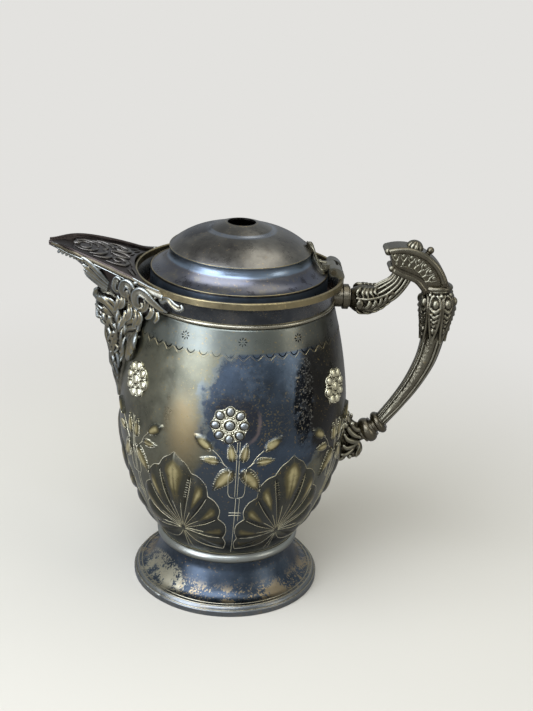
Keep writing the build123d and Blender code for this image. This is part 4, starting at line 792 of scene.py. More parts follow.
# %% How a line is laid
RIBBON_SUNK = 0.12
RIBBON_KEEL = 0.3
RIBBON_TAPER = 1.6
THIN_END = 0.3


def ribbon(line, width, lift=0.14):
    """Points and faces of a narrow closed ribbon along rows of (degrees, height) on the jacket's relief."""
    line = np.asarray(line, float)
    rise, _, _ = jacket_fields(line[:, 0], line[:, 1])
    middle = on_jacket(line[:, 0], line[:, 1], rise + lift)
    floor = on_jacket(line[:, 0], line[:, 1], rise - RIBBON_SUNK)
    out = unit(middle - floor)
    along = np.gradient(middle, axis=0)
    run = np.linalg.norm(along, axis=1)
    side = unit(np.cross(along, out))
    travelled = np.concatenate([[0], np.cumsum(0.5 * (run[1:] + run[:-1]))])
    ends = np.minimum(travelled, travelled[-1] - travelled)
    half = 0.5 * width * np.clip(THIN_END + ends / RIBBON_TAPER, THIN_END, 1.0)[:, None]
    points = np.stack([floor - half * side, middle, floor + half * side, floor - RIBBON_KEEL * out], axis=1)
    return points.reshape(-1, 3), [face[::-1] for face in skin_faces(len(line), 4)]


def turned(points, degrees):
    """Points turned round the body's axis, as seen from above and from the front to the right."""
    angle = radians(degrees)
    turn = np.array([[cos(angle), sin(angle), 0], [-sin(angle), cos(angle), 0], [0, 0, 1]])
    return points @ turn


def gather(parts):
    """Joins lists of points and faces to one."""
    points, faces, shift = [], [], 0
    for some_points, some_faces in parts:
        points.append(some_points)
        faces += [[corner + shift for corner in face] for face in some_faces]
        shift += len(some_points)
    return np.vstack(points), faces


def joined(name, parts, finish, slot, body="pitcher", sheen_and_wear=None):
    """Makes one piece of bars, lines or ribbons. sheen_and_wear is the same all over, or left out."""
    points, faces = gather(parts)
    marks = {} if sheen_and_wear is None else {"worn": np.full(len(points), sheen_and_wear)}
    return piece(name, points, faces, [finish], slot, body, **marks)


def leaf_side(name, side, saw=0.0):
    """The edge of a leaf, as (degrees beside the stem, height), with teeth if saw is a depth."""
    base, run, length, scale = leaf_frame(SPRAY[name])
    along = np.linspace(0, 1, 40)
    teeth = saw * (np.arange(40) % 3 == 0) * np.sin(pi * along)
    off = side * (leaf_breadth(name, along) - teeth)
    flat = base + np.outer(along * length, run) + np.outer(off, [-run[1], run[0]])
    return np.stack([flat[:, 0] / scale, flat[:, 1]], axis=1)


print("a ribbon's keel and taper:", RIBBON_KEEL, RIBBON_TAPER, "mm")

# %% [markdown]
# ## The lines of one repeat
#
# Round a fan runs its outline, with a scroll at its hub and ribs that rise between the lobes. The leaves of
# a spray are outlined and have a midrib and short hatching, and a stem has two long lines. They are drawn
# for one repeat and then turned, as a chaser drew one panel on paper and traced it on the others.

# %% The lines of one repeat
lines = []
for side in (1, -1):
    def beside_fan(rows, side=side):
        """Places given beside a fan's axis, turned to degrees beside the nearest stem."""
        rows = np.asarray(rows, float)
        return np.stack([side * (REPEAT / 2 - rows[:, 0]), rows[:, 1]], axis=1)

    lines.append((beside_fan(fan_line), 0.85))
    lines.append((beside_fan(smooth([(26, 46), (20, 46.8), (13, 48.2), (7.5, 50.5), (3.6, 54.5), (0.8, 59)])),
                  0.6))
    lines.append((beside_fan(smooth([(0.2, 58.5), (0.9, 51), (2.0, 42.5)])), 0.6))
    for number, turn in enumerate([*valleys[1:5], 4.5, 23.0, 46.0, 78.0]):
        reach = np.interp(turn, line_turn, line_reach)
        end = 0.93 if number < 4 else (0.42, 0.4, 0.46, 0.5)[number - 4]
        away = np.linspace(0.05, end, 26) * reach
        bow = 2.4 * np.sin(pi * away / reach)
        rise = away * np.cos(np.radians(turn + bow))
        aside = np.degrees(away * np.sin(np.radians(turn + bow)) / jacket_line(HUB_HEIGHT + rise))
        lines.append((beside_fan(np.stack([aside, HUB_HEIGHT + rise], axis=1)), 0.42 if number < 4 else 0.7))
    for share in np.arange(0.6, 0.88, 0.04):
        away = share * np.interp(valleys[1], line_turn, line_reach)
        rise = away * cos(radians(valleys[1]))
        aside = np.degrees(away * sin(radians(valleys[1])) / jacket_line(HUB_HEIGHT + rise))
        lines.append((beside_fan([(aside - 1.2, HUB_HEIGHT + rise + 0.7), (aside, HUB_HEIGHT + rise),
                                  (aside + 1.2, HUB_HEIGHT + rise - 0.7)]), 0.4))
for side in (1, -1):
    def beside_stem(rows, side=side):
        """Places given beside the stem, turned to degrees from the front."""
        rows = np.asarray(rows, float)
        return np.stack([STEM_SHIFT + side * rows[:, 0], rows[:, 1]], axis=1)

    for name in SPRAY:
        for edge in (1, -1):
            lines.append((beside_stem(leaf_side(name, edge, 0.0 if name == "bud" else 0.55)), 0.5))
        if name != "bud":
            base, run, length, scale = leaf_frame(SPRAY[name])
            along = np.linspace(0.02, 0.9, 14)
            flat = base + np.outer(along * length, run)
            lines.append((beside_stem(np.stack([flat[:, 0] / scale, flat[:, 1]], axis=1)), 0.35))
            for share in np.arange(0.16, 0.86, 0.09):
                for edge in (1, -1):
                    room = leaf_breadth(name, share)
                    starts = [(share + 0.04) * length, edge * room * 0.62]
                    ends = [(share + 0.09) * length, edge * room * 0.95]
                    hatch = np.array([base + a * run + b * np.array([-run[1], run[0]])
                                      for a, b in (starts, ends)])
                    hatch = smooth(np.stack([hatch[:, 0] / scale, hatch[:, 1]], axis=1), 0.8)
                    lines.append((beside_stem(hatch), 0.34))
    lines.append((beside_stem(smooth([(12.7, 131), (10.2, 128), (8.4, 125.2), (6.6, 121), (4.2, 117.5),
                                      (3.2, 112)])), 0.5))
    lines.append((beside_stem(smooth([(8.6, 122.6), (7.4, 121.8), (6.0, 119.6)])), 0.45))
    lines.append((beside_stem(smooth([(14.2, 129.2), (13.0, 130.0), (12.9, 131.6), (13.9, 132.3)], 0.6)),
                  0.45))
    lines.append((beside_stem([(0.62, height) for height in np.arange(137.0, 95.0, -1.0)]), 0.5))
    lines.append((beside_stem(smooth([(3.2, 117), (4.3, 112), (4.2, 104), (4.0, 98.5), (2.8, 95.7),
                                      (0.6, 95.2)], 0.8)), 0.55))
for height in (82.6, 80.3):
    lines.append(([(STEM_SHIFT + aside, height) for aside in np.linspace(-3.3, 3.3, 8)], 0.5))
lines.append(([(STEM_SHIFT, height) for height in np.arange(95.4, 40.8, -1.0)], 0.55))
lines.append(([(STEM_SHIFT + 1.9, height) for height in np.arange(95.0, 74.0, -1.0)], 0.4))
repeat_points, repeat_faces = gather([ribbon(line, width) for line, width in lines])
print("lines in one repeat:", len(lines))

# %% [markdown]
# ## The border at the neck
#
# A border of hanging points runs round under the neck, each struck with one punch: a bright outline with a
# dark crescent inside. Over it stand the florets, struck with a punch like a grain of rice, eight times
# round a dot. The dark marks are tarnish that stays in the punch's bite, so they are thin dark lenses that
# hardly stand out.

# %% The border at the neck
BORDER_POINTS = 50
BORDER_START = 2.3
BORDER_HALF = ((0.5, 192.0), (0.36, 190.9), (0.2, 189.7), (0.08, 188.8), (0.0, 188.6))
BITE_HALF = ((0.33, 193.0), (0.26, 191.9), (0.15, 190.9), (0.0, 190.4))
FLORETS = 11
FLORET_START = 1.7
FLORET_HEIGHT = 200.2
PETAL_REACH = (1.3, 2.1, 2.9)
MM_PER_DEGREE = 1.13
SPOUT_TURN = 270
POINTS_CLEAR = 20
FLORETS_CLEAR = 22
step = 360 / BORDER_POINTS
bright_rows, border_rows, dark_rows = [], [], []
for number in range(6):
    bright_rows.append((turned(repeat_points, REPEAT * number), repeat_faces))
for number in range(BORDER_POINTS):
    middle = number * step + BORDER_START
    if abs(middle - SPOUT_TURN) < POINTS_CLEAR:
        continue
    for side in (-1, 1):
        edge = [(middle + side * aside * step, height) for aside, height in BORDER_HALF]
        border_rows.append(ribbon(smooth(edge, 0.8), 0.5))
    bite = [(middle - aside * step, height) for aside, height in BITE_HALF]
    bite += [(middle + aside * step, height) for aside, height in BITE_HALF[-2::-1]]
    dark_rows.append(ribbon(smooth(bite, 0.8), 1.25, 0.08))
for number in range(FLORETS):
    middle = number * 360 / FLORETS + FLORET_START
    if abs(middle - SPOUT_TURN) < FLORETS_CLEAR:
        continue
    for petal in range(8):
        turn = 2 * pi * petal / 8
        ends = [(middle + reach * sin(turn) / MM_PER_DEGREE, FLORET_HEIGHT + reach * cos(turn))
                for reach in PETAL_REACH]
        dark_rows.append(ribbon(ends, 2.3, 0.1))
    dark_rows.append(ribbon([(middle + aside, FLORET_HEIGHT) for aside in (-0.4, 0.0, 0.4)], 1.1, 0.1))
ring_turns = np.linspace(0, 360, 361)
bright_rows.append(ribbon(np.stack([ring_turns, np.full(361, 38.5)], axis=1), 0.7))
joined("chased_lines", bright_rows, bright_cut, "tarnished_plate")
joined("border_outline", border_rows, brass_edge, "tarnished_plate")
joined("punched_marks", dark_rows, punched, "tarnished_plate")

# %% [markdown]
# ## Rosettes
#
# Each rosette is a small casting soldered to the jacket: a disc with a scalloped edge that carries eight
# oval beads round a larger one, each in a sunk ring with a raised collar, and small dots between them. It
# is made as a height over a polar net that is bent to the jacket, so that the rings are real steps. The
# faces of the beads take a silver finish on the front and the back rosette, and the number called
# worn is low in the sunk rings, where the black stays.

# %% Rosettes
ROSETTES = {"front": (-3.0, 148.0), "front_right": (60, 161), "back_right": (120, 161), "back": (180, 148),
            "back_left": (240, 161), "front_left": (300, 161)}
BEAD_CIRCLE = 9.1
BEAD_SIZE = (2.7, 2.35)
CENTRE_BEAD = 2.9
LOBE_MARGIN = 0.95
DISC_RADIUS = 11.7
DISC_SUNK = 0.6
SPINS = (0, 9, 31, 14, 23, 40)
NET_RINGS = 40
NET_SECTORS = 224


def rosette_height(u, v):
    """Height of the casting over the jacket, wear, and what is on a bead, from places in its plane."""
    turn = np.arctan2(u, v)
    nearest = np.round(turn / (pi / 4)) * (pi / 4)
    along = u * np.sin(nearest) + v * np.cos(nearest) - BEAD_CIRCLE
    across = u * np.cos(nearest) - v * np.sin(nearest)
    from_bead = np.hypot(along / BEAD_SIZE[0], across / BEAD_SIZE[1])
    from_centre = np.hypot(u, v) / CENTRE_BEAD
    near = np.minimum(from_bead, from_centre)
    height = 1.05 + 0.35 * np.exp(-((near - 1.36) / 0.13) ** 2) - 0.75 * np.exp(-((near - 1.08) / 0.1) ** 2)
    dome = near < 1.0
    height = np.where(dome, 0.8 + 1.5 * np.sqrt(np.clip(1 - near ** 2, 0, 1)), height)
    worn = np.where(dome, 0.2, -1.3 * np.exp(-((near - 1.1) / 0.13) ** 2))
    for circle, shift, size in ((5.3, 0.5, 0.62), (10.9, 0.5, 0.6)):
        dot = (np.floor(turn / (pi / 4)) + shift) * (pi / 4)
        off = np.hypot(u - circle * np.sin(dot), v - circle * np.cos(dot)) / size
        height = np.where(off < 1, 1.0 + 0.55 * np.sqrt(np.clip(1 - off ** 2, 0, 1)), height)
        height = height - 0.45 * np.exp(-((off - 1.35) / 0.25) ** 2) * (off >= 1)
        worn = worn - 1.0 * np.exp(-((off - 1.35) / 0.28) ** 2)
    return height, worn, dome


sector_turns = np.arange(NET_SECTORS) * 2 * pi / NET_SECTORS
to_bead = (sector_turns + pi / 8) % (pi / 4) - pi / 8
lobe_size = BEAD_SIZE[0] + LOBE_MARGIN
lobe_rest = np.maximum(lobe_size ** 2 - (BEAD_CIRCLE * np.sin(to_bead)) ** 2, 0)
lobe_edge = BEAD_CIRCLE * np.cos(to_bead) + np.sqrt(lobe_rest)
edge_radius = np.maximum(lobe_edge, DISC_RADIUS)
shares = np.linspace(0, 1, NET_RINGS + 1)[1:]
net_u = np.outer(shares, edge_radius * np.sin(sector_turns))
net_v = np.outer(shares, edge_radius * np.cos(sector_turns))
for number, (name, (angle, height)) in enumerate(ROSETTES.items()):
    spin = radians(SPINS[number])
    u = net_u * cos(spin) - net_v * sin(spin)
    v = net_u * sin(spin) + net_v * cos(spin)
    lift, worn, dome = rosette_height(net_u, net_v)
    lift = lift + 0.06 * np.sin(7 * u + number) * np.sin(6 * v)
    lift[-1] = -DISC_SUNK
    lift[-2] = np.minimum(lift[-2], 0.75)
    scale = np.degrees(1 / jacket_line(height))
    slope = jacket_slope(height)
    points = on_jacket(angle + u * scale, height + v / np.sqrt(1 + slope ** 2), lift).reshape(-1, 3)
    points = np.vstack([points, on_jacket(angle, height, -DISC_SUNK), on_jacket(angle, height, 2.3)])
    faces = between(NET_RINGS, NET_SECTORS)
    kinds = dome.ravel()[faces].all(axis=1).astype(int)
    hub = [[len(points) - 1, column, (column + 1) % NET_SECTORS] for column in range(NET_SECTORS)]
    rim = (NET_RINGS - 1) * NET_SECTORS
    back = [[len(points) - 2, rim + (column + 1) % NET_SECTORS, rim + column]
            for column in range(NET_SECTORS)]
    faces = faces[:, ::-1].tolist() + [face[::-1] for face in hub] + back
    kinds = np.concatenate([kinds, np.ones(NET_SECTORS, int), np.zeros(NET_SECTORS, int)])
    worn = np.append(worn.ravel(), (0.0, 0.2))
    beads = silver_bead if name in ("front", "back") else gilt
    piece(f"gilt_rosette_{name}", points, faces, [gilt, beads], "gilt_casting",
          stands_for=[f"rosette_{name}"], kinds=kinds, worn=worn)

# %% [markdown]
# ## Helpers for cast work
#
# The spout's mask and scrolls and the handle's leaves were modelled in wax and cast. Here each is built up
# from bars and lumps, as a modeller lays on rolls of wax, and then one skin is drawn over all of them and
# rubbed smooth. How far each point stands over the smoothed form tells where polish reaches, with a painted
# highlight on the highest ridges, and where the black stays.

# %% Bars, lumps and one skin
ASKEW = (0.21, 0.93, 0.3)
FORM_ROUNDS = 24


def bar(rows, flat=1.0, facing=ASKEW, sides=10, step=0.8):
    """A closed bar along rows of x, y, z and radius. flat is its thickness towards facing over its width."""
    rows = smooth(rows, step)
    middle, radius = rows[:, :3], rows[:, 3]
    along = unit(np.gradient(middle, axis=0))
    side = unit(np.cross(along, facing))
    thin = np.cross(side, along)
    turns = np.arange(sides) * 2 * pi / sides
    ring = np.cos(turns)[:, None] * side[:, None] + flat * np.sin(turns)[:, None] * thin[:, None]
    points = middle[:, None] + ring * radius[:, None, None]
    return points.reshape(-1, 3), skin_faces(len(rows), sides)


def grooved(rows, facing):
    """A flat bar with a raised edge on both sides, as a scroll has that was hollowed with a tool."""
    rows = smooth(rows, 0.8)
    middle, radius = rows[:, :3], rows[:, 3:]
    aside = radius * unit(np.cross(np.gradient(middle, axis=0), facing))
    made = [bar(rows, flat=0.6, facing=facing)]
    for way in (-1, 1):
        edge = middle + 0.7 * way * aside + 0.38 * radius * np.asarray(facing)
        made.append(bar(np.hstack([edge, 0.32 * radius]), facing=facing))
    return made


def lump(centre, sizes, axes=None):
    """An egg-shaped lump with three half sizes along three directions."""
    rows, columns = 9, 14
    polar = np.linspace(0.06, pi - 0.06, rows)
    turns = np.arange(columns) * 2 * pi / columns
    ball = np.stack([np.outer(np.sin(polar), np.cos(turns)), np.outer(np.sin(polar), np.sin(turns)),
                     np.outer(np.cos(polar), np.ones(columns))], axis=-1).reshape(-1, 3)
    points = np.asarray(centre) + (ball * sizes) @ (np.eye(3) if axes is None else np.asarray(axes))
    return points, skin_faces(rows, columns)


def other_side(solids):
    """The same bars and lumps on the far side of the middle."""
    return [(points * (1, -1, 1), [list(face)[::-1] for face in faces]) for points, faces in solids]


def evened(places, quads, rounds):
    """Moves each point half way to the middle of its neighbours, some rounds long."""
    here, there = np.stack([quads, np.roll(quads, -1, axis=1)], axis=-1).reshape(-1, 2).T
    count = np.maximum(np.bincount(here, minlength=len(places)), 1)[:, None]
    for _ in range(rounds):
        near = np.stack([np.bincount(here, places[there, axis], len(places)) for axis in range(3)], axis=1)
        places = places + 0.5 * (near / count - places)
    return places


def cast(name, solids, grain, finish, stands_for=(), fit=None, rounds=2):
    """Draws one skin over bars and lumps, with a point about every grain of length. fit moves the points."""
    points, faces = gather(solids)
    wax = bpy.data.meshes.new("wax")
    wax.from_pydata(points.tolist(), [], faces)
    model = bpy.data.objects.new("wax", wax)
    bpy.context.scene.collection.objects.link(model)
    skin = model.modifiers.new("skin", "REMESH")
    skin.mode = "VOXEL"
    skin.voxel_size = grain
    drawn = model.evaluated_get(bpy.context.evaluated_depsgraph_get()).to_mesh()
    places = np.empty(len(drawn.vertices) * 3)
    quads = np.empty(len(drawn.polygons) * 4, np.int32)
    drawn.vertices.foreach_get("co", places)
    drawn.polygons.foreach_get("vertices", quads)
    places, quads = places.reshape(-1, 3), quads.reshape(-1, 4)
    bpy.data.objects.remove(model)
    places = evened(places, quads, rounds)
    if fit is not None:
        places = fit(places)
    facing = np.cross(places[quads[:, 2]] - places[quads[:, 0]], places[quads[:, 3]] - places[quads[:, 1]])
    turned_out = [np.bincount(quads.ravel(), np.repeat(facing[:, axis], 4), len(places)) for axis in range(3)]
    out = unit(np.stack(turned_out, axis=1))
    proud = ((places - evened(places, quads, FORM_ROUNDS)) * out).sum(axis=1)
    worn = np.clip(proud / (2.2 * proud.std()), -1, 1)
    return piece(name, places, quads.tolist(), [finish], "cast_white_metal", stands_for=stands_for, worn=worn)


print("helpers for cast work are ready")

# %% [markdown]
# ## The spout's side
#
# The trough's outside is given by a few stations along it, with half its width, the height of its edge and
# of its keel. What is cast under it is fitted to that outside, and to the jacket, so that nothing closes
# the water's way.

# %% The spout's side
SPOUT_STATIONS = np.array([
    (58.0, 40.0, 225.6, 181.0), (70.0, 33.0, 229.4, 195.0), (82.0, 28.5, 233.6, 206.0),
    (94.0, 23.6, 237.2, 217.5), (106.0, 17.6, 240.0, 228.6), (116.0, 9.6, 241.0, 234.6),
    (124.2, 3.4, 241.3, 238.1),
])
SPOUT_END = 124
NECK_RADIUS = 63.4
COLLAR_FOOT = 209
COLLAR_LEAN = 0.34
SUNK = 0.7
BOWL_SHARES = (0.0, 0.35, 0.7, 1.0)
BOWL_WIDTHS = (0.0, 0.5, 0.9, 1.0)


def spout_section(distance):
    """Half width, edge and keel of the trough at a distance out from the axis."""
    return [np.interp(distance, SPOUT_STATIONS[:, 0], SPOUT_STATIONS[:, column]) for column in (1, 2, 3)]


def on_spout(distance, share, lift=0.0):
    """A place on the trough's outside. share is -1 at the front edge, 0 at the keel and 1 at the back."""
    half, edge, keel = spout_section(distance)
    way = abs(share)
    y = half * np.interp(way, BOWL_SHARES, BOWL_WIDTHS)
    z = np.interp(way, BOWL_SHARES, (keel, keel + 0.2 * (edge - keel), edge - 0.38 * (edge - keel), edge))
    out_y = min(1.0, 1.3 * way)
    out_z = -sqrt(max(0.0, 1 - out_y ** 2))
    side = -1 if share < 0 else 1
    return (-distance, side * (y + lift * out_y), z + lift * out_z)


def under_spout(places):
    """Keeps a casting under the trough and outside the jacket, sunk half into their metal."""
    half, edge, keel = spout_section(-places[:, 0])
    share = np.abs(places[:, 1]) / half
    bowl = np.interp(share, BOWL_WIDTHS, (0.0, 0.2, 0.62, 1.0)) * (edge - keel) + keel
    inside = (share < 1) & (-places[:, 0] < SPOUT_END)
    height = np.where(inside, np.minimum(places[:, 2], bowl + SUNK), places[:, 2])
    reach = np.hypot(places[:, 0], places[:, 1])
    jacket = jacket_line(np.clip(height, JACKET_LOW, JACKET_HIGH))
    collar = NECK_RADIUS + (height - COLLAR_FOOT) * COLLAR_LEAN
    push = np.maximum((np.where(height < COLLAR_FOOT, jacket, collar) - SUNK) / reach, 1)
    return np.stack([places[:, 0] * push, places[:, 1] * push, height], axis=1)


print("spout's side at its middle:", [round(float(value), 1) for value in on_spout(90, -0.6)])

# %% [markdown]
# ## Mask and beard
#
# Under the spout sits a bearded head of the kind that was put on pitchers and fountains. The face here is
# plain and calm, set out on the usual proportions: the eyes at half the head's height, the nose to half way
# from there to the chin, the mouth a third further. The hair is combed back in locks, and the beard falls
# in long waved locks that narrow to a tip on the jacket.

# %% Mask and beard
HEAD_MIDDLE = np.array([-80.5, 0.0, 199.5])
HEAD_TILT = radians(16)
FACING = np.array([-cos(HEAD_TILT), 0.0, -sin(HEAD_TILT)])
UPWARD = np.array([-sin(HEAD_TILT), 0.0, cos(HEAD_TILT)])
HEAD_AXES = np.stack([FACING, np.array([0.0, 1.0, 0.0]), UPWARD])
HALF_HEAD = 16.5
HALF_FACE = 12.5


def on_head(height, aside, lift=0.0):
    """A place on the head's oval, from the eye line up and from the middle aside."""
    share = 1 - (height / HALF_HEAD) ** 2 - (aside / HALF_FACE) ** 2
    depth = HALF_FACE * sqrt(max(share, 0.02))
    return HEAD_MIDDLE + (depth + lift) * FACING + height * UPWARD + np.array([0.0, aside, 0.0])


def head_bar(side, *rows):
    """A bar on one side of the head, along rows of height, aside, lift and radius."""
    return bar([(*on_head(height, side * aside, lift), radius) for height, aside, lift, radius in rows])


face = [lump(HEAD_MIDDLE, (12.0, 12.2, 16.2), HEAD_AXES)]
face.append(head_bar(1, (2.6, 0, 0.0, 1.1), (-0.6, 0, 0.7, 1.2), (-3.6, 0, 1.6, 1.5), (-5.9, 0, 2.2, 1.9),
                     (-6.9, 0, 1.2, 1.4)))
for side in (-1, 1):
    face.append(head_bar(side, (2.3, 1.4, 0.3, 0.9), (3.4, 4.0, 0.8, 1.1), (3.2, 7.2, 0.7, 1.0),
                         (1.2, 9.6, 0.3, 0.7)))
    face.append(lump(on_head(0.2, side * 4.9, 0.0), (1.7, 2.2, 1.5), HEAD_AXES))
    face.append(head_bar(side, (0.6, 2.7, 0.9, 0.4), (1.7, 4.7, 1.5, 0.5), (0.7, 6.9, 1.0, 0.4)))
    face.append(head_bar(side, (-0.2, 2.8, 0.8, 0.35), (-1.3, 4.8, 1.2, 0.4), (-0.4, 6.8, 0.8, 0.35)))
    face.append(lump(on_head(-5.0, side * 6.4, -1.2), (2.4, 3.0, 3.2), HEAD_AXES))
    face.append(lump(on_head(-6.5, side * 1.9, 0.8), (1.1, 1.0, 1.0), HEAD_AXES))
    face.append(head_bar(side, (-8.2, 0.6, 1.2, 1.3), (-9.2, 3.4, 1.8, 1.6), (-11.0, 6.4, 1.6, 1.5),
                         (-13.8, 8.6, 1.8, 1.1), (-15.4, 8.2, 3.4, 0.6)))
    face.append(lump((-79.4, side * 12.0, 196.8), (1.6, 1.1, 2.6), HEAD_AXES))
face.append(head_bar(1, (-10.0, -3.0, 0.6, 0.6), (-9.8, 0, 1.2, 0.8), (-10.0, 3.0, 0.6, 0.6)))
face.append(head_bar(1, (-11.4, -2.6, 0.8, 0.7), (-11.8, 0, 1.5, 1.0), (-11.4, 2.6, 0.8, 0.7)))

hair = []
for side in (-1, 1):
    for lock in range(7):
        aside = 0.9 + 1.6 * lock
        wave = 0.8 * (-1) ** lock
        rows = [
            (*on_head(12.4 - 0.5 * lock, side * min(aside, 9.4), 0.6), 1.2),
            (*on_head(10.0 - 0.6 * lock, side * min(aside + 3.2, 11.2), 1.6 + 0.3 * wave), 2.0),
            (-82.6 + 1.2 * lock, side * (12.2 + 0.5 * wave), 205.6 - 2.4 * lock, 2.1),
            (-79.0 + 1.1 * lock, side * (13.4 - 0.6 * wave), 200.2 - 2.8 * lock, 2.0),
            (-78.8 + 0.7 * lock, side * (13.4 + 0.7 * wave), 194.0 - 3.0 * lock, 1.9),
            (-77.0 + 0.4 * lock, side * (13.0 - 0.5 * wave), 187.6 - 3.2 * lock, 1.5),
            (-77.8 + 0.2 * lock, side * (12.4 + 0.6 * wave), 182.0 - 3.2 * lock, 0.7),
        ]
        hair.append(bar(rows))
        hair.append(bar([(x, y + side * 0.75 * r, z + 0.5 * r, 0.38 * r) for x, y, z, r in rows]))

BEARD_STATIONS = np.array([
    (197.0, 12.0, 77.0, 10.6), (190.0, 13.0, 75.4, 12.2), (180.0, 12.6, 73.0, 12.4),
    (170.0, 11.0, 73.0, 11.0), (160.0, 8.8, 73.8, 8.8), (149.0, 6.0, 74.6, 6.0), (138.0, 3.2, 75.2, 3.8),
    (131.0, 1.6, 75.4, 2.4),
])


def on_beard(height, turn, lift=0.0):
    """A place on the beard's outline at a height, turned round from its front edge."""
    half, middle, depth = [np.interp(-height, -BEARD_STATIONS[:, 0], BEARD_STATIONS[:, column])
                           for column in (1, 2, 3)]
    return (-middle - (depth + lift) * cos(turn), (half + lift) * sin(turn), height)


beard = [bar([(-middle, 0.0, height, 0.95 * half) for height, half, middle, _ in BEARD_STATIONS], sides=20)]
BEARD_LAYERS = ((15, -0.5, 195.0, 2.1), (11, 0.5, 191.0, 1.7), (7, 1.3, 186.0, 1.4))
for layer, (count, lift, top, thick) in enumerate(BEARD_LAYERS):
    for lock in range(count):
        turn = radians(-104 + 208 * (lock + 0.5) / count)
        low = min(132.0 + 24 * abs(turn) ** 1.7 + 11 * layer + 6 * chance.random(), top - 2 * abs(turn) - 16)
        rows = []
        for height in np.arange(top - 2 * abs(turn), low, -4.0):
            share = (top - height) / (top - low)
            wave = radians(8 + 4 * layer) * sin(height / 3.3 + lock * 2.1 + layer)
            round_share = 0.5 + 0.5 * sin(pi * min(1.0, 0.2 + 0.75 * share))
            rows.append((*on_beard(height, turn + wave, lift + 0.5 * sin(height / 2.9 + lock)),
                         thick * round_share))
        curl = 1 if lock % 2 else -1
        end = on_beard(low, turn + 0.12 * curl, lift + 0.9)
        beard.append(bar(rows + [(*end, 0.5)]))
cast("mask_and_beard", face + hair + beard, 0.46, spout_metal, stands_for=["spout_mask", "mask_beard"],
     fit=under_spout, rounds=1)

# %% [markdown]
# ## Scrolls beside the spout
#
# Along each side of the spout runs cast scroll work: a fan of leaf blades towards the tip, a small loop,
# two breaking waves, a band that ends in a square ribbon on the collar, and a strap of leaves that hangs
# down beside the beard. The work is pierced in places, and the dark trough shows through.

# %% Scrolls beside the spout
SIDE_RUN = np.array([0.8815, -0.4722, 0.0])
SIDE_OUT = np.array([-0.4722, -0.8815, 0.0])
SIDE_START = np.array([-81.5, -28.8, 224.0])
SIDE_SHRINK = 0.81


def beside_spout(rows):
    """Rows of distance along, rise, stand out and radius on the front side, turned to rows of a bar."""
    return [(*(SIDE_START + SIDE_SHRINK * along * SIDE_RUN + (0, 0, rise) + out * SIDE_OUT), radius)
            for along, rise, out, radius in rows]


waves = []
for rows in (
    [(5.0, -6.5, 0.2, 1.0), (2.9, -2.5, 1.2, 1.7), (5.0, 3.0, 1.4, 2.0), (8.2, 2.0, 1.4, 1.8),
     (8.6, -2.4, 1.2, 1.6), (6.9, -6.0, 0.6, 0.9)],
    [(14.4, -4.8, 0.2, 0.9), (12.0, -6.6, 0.8, 1.7), (10.6, -2.6, 1.6, 2.5), (13.4, 1.8, 2.0, 2.9),
     (18.0, 1.0, 2.0, 2.9), (20.6, -3.4, 1.7, 2.5), (20.6, -8.6, 1.1, 1.9), (18.4, -13.4, 0.4, 1.0)],
    [(13.8, -10.2, 0.2, 0.7), (14.8, -6.2, 0.8, 1.7), (17.0, -3.6, 0.8, 1.7), (17.0, -7.6, 0.6, 1.4),
     (15.8, -11.8, 0.2, 0.7)],
    [(28.6, -9.4, 0.6, 0.9), (26.0, -12.4, 0.8, 1.7), (23.4, -9.4, 1.6, 2.6), (23.8, -4.2, 2.2, 3.1),
     (27.8, -1.4, 2.4, 3.3), (33.0, -3.0, 2.2, 3.0), (38.2, -6.6, 1.6, 2.5), (43.2, -9.8, 0.8, 1.9),
     (47.0, -11.8, 0.0, 1.2), (50.0, -13.0, -0.8, 0.5)],
    [(27.2, -5.2, 0.8, 0.9), (31.6, -5.8, 1.4, 1.9), (33.2, -9.6, 1.4, 1.9), (30.8, -13.4, 1.0, 1.6),
     (27.4, -14.8, 0.6, 1.0)],
    [(36.0, -9.6, 0.6, 1.0), (37.8, -13.0, 1.0, 2.0), (35.2, -17.4, 0.6, 1.7), (31.0, -19.6, 0.0, 1.0)],
    [(41.6, -13.2, 0.4, 1.0), (42.4, -17.0, 0.6, 1.6), (38.8, -21.4, 0.0, 0.9)],
    [(24.0, -16.0, 0.0, 1.0), (26.6, -18.0, 0.6, 1.8), (26.4, -22.0, 0.2, 1.6), (23.6, -26.0, -0.6, 0.8)],
    [(8.0, -6.4, -0.4, 0.8), (10.6, -9.4, 0.2, 2.0), (9.8, -13.6, 0.0, 2.2), (6.4, -17.0, -0.6, 1.0)],
    [(14.4, -12.6, -0.6, 0.8), (17.2, -16.0, 0.0, 2.1), (16.0, -20.6, -0.2, 2.2), (12.2, -24.6, -1.0, 0.9)],
    [(4.4, -8.6, -0.8, 0.8), (5.8, -12.4, -0.4, 1.8), (4.0, -17.0, -0.8, 1.8), (0.4, -20.6, -1.6, 0.8)],
    [(21.0, -15.0, -0.8, 0.8), (23.4, -19.6, -0.4, 1.9), (21.4, -24.4, -0.8, 1.9), (18.2, -29.4, -1.6, 0.8)],
    [(11.2, -17.8, -1.2, 0.8), (11.8, -22.6, -0.8, 1.7), (9.0, -27.6, -1.2, 1.6), (5.4, -31.4, -2.0, 0.7)],
):
    waves += grooved(beside_spout(rows), SIDE_OUT)
for along, rise, out, size in ((31.0, -9.4, 0.4, 1.6), (21.6, 2.6, 0.2, 1.7), (34.8, -0.6, 0.0, 1.4),
                               (40.2, -3.8, 0.0, 1.3), (4.6, -1.0, 0.4, 1.2)):
    waves.append(lump(beside_spout([(along, rise, out, 1)])[0][:3], (size, 1.6, 0.85 * size)))
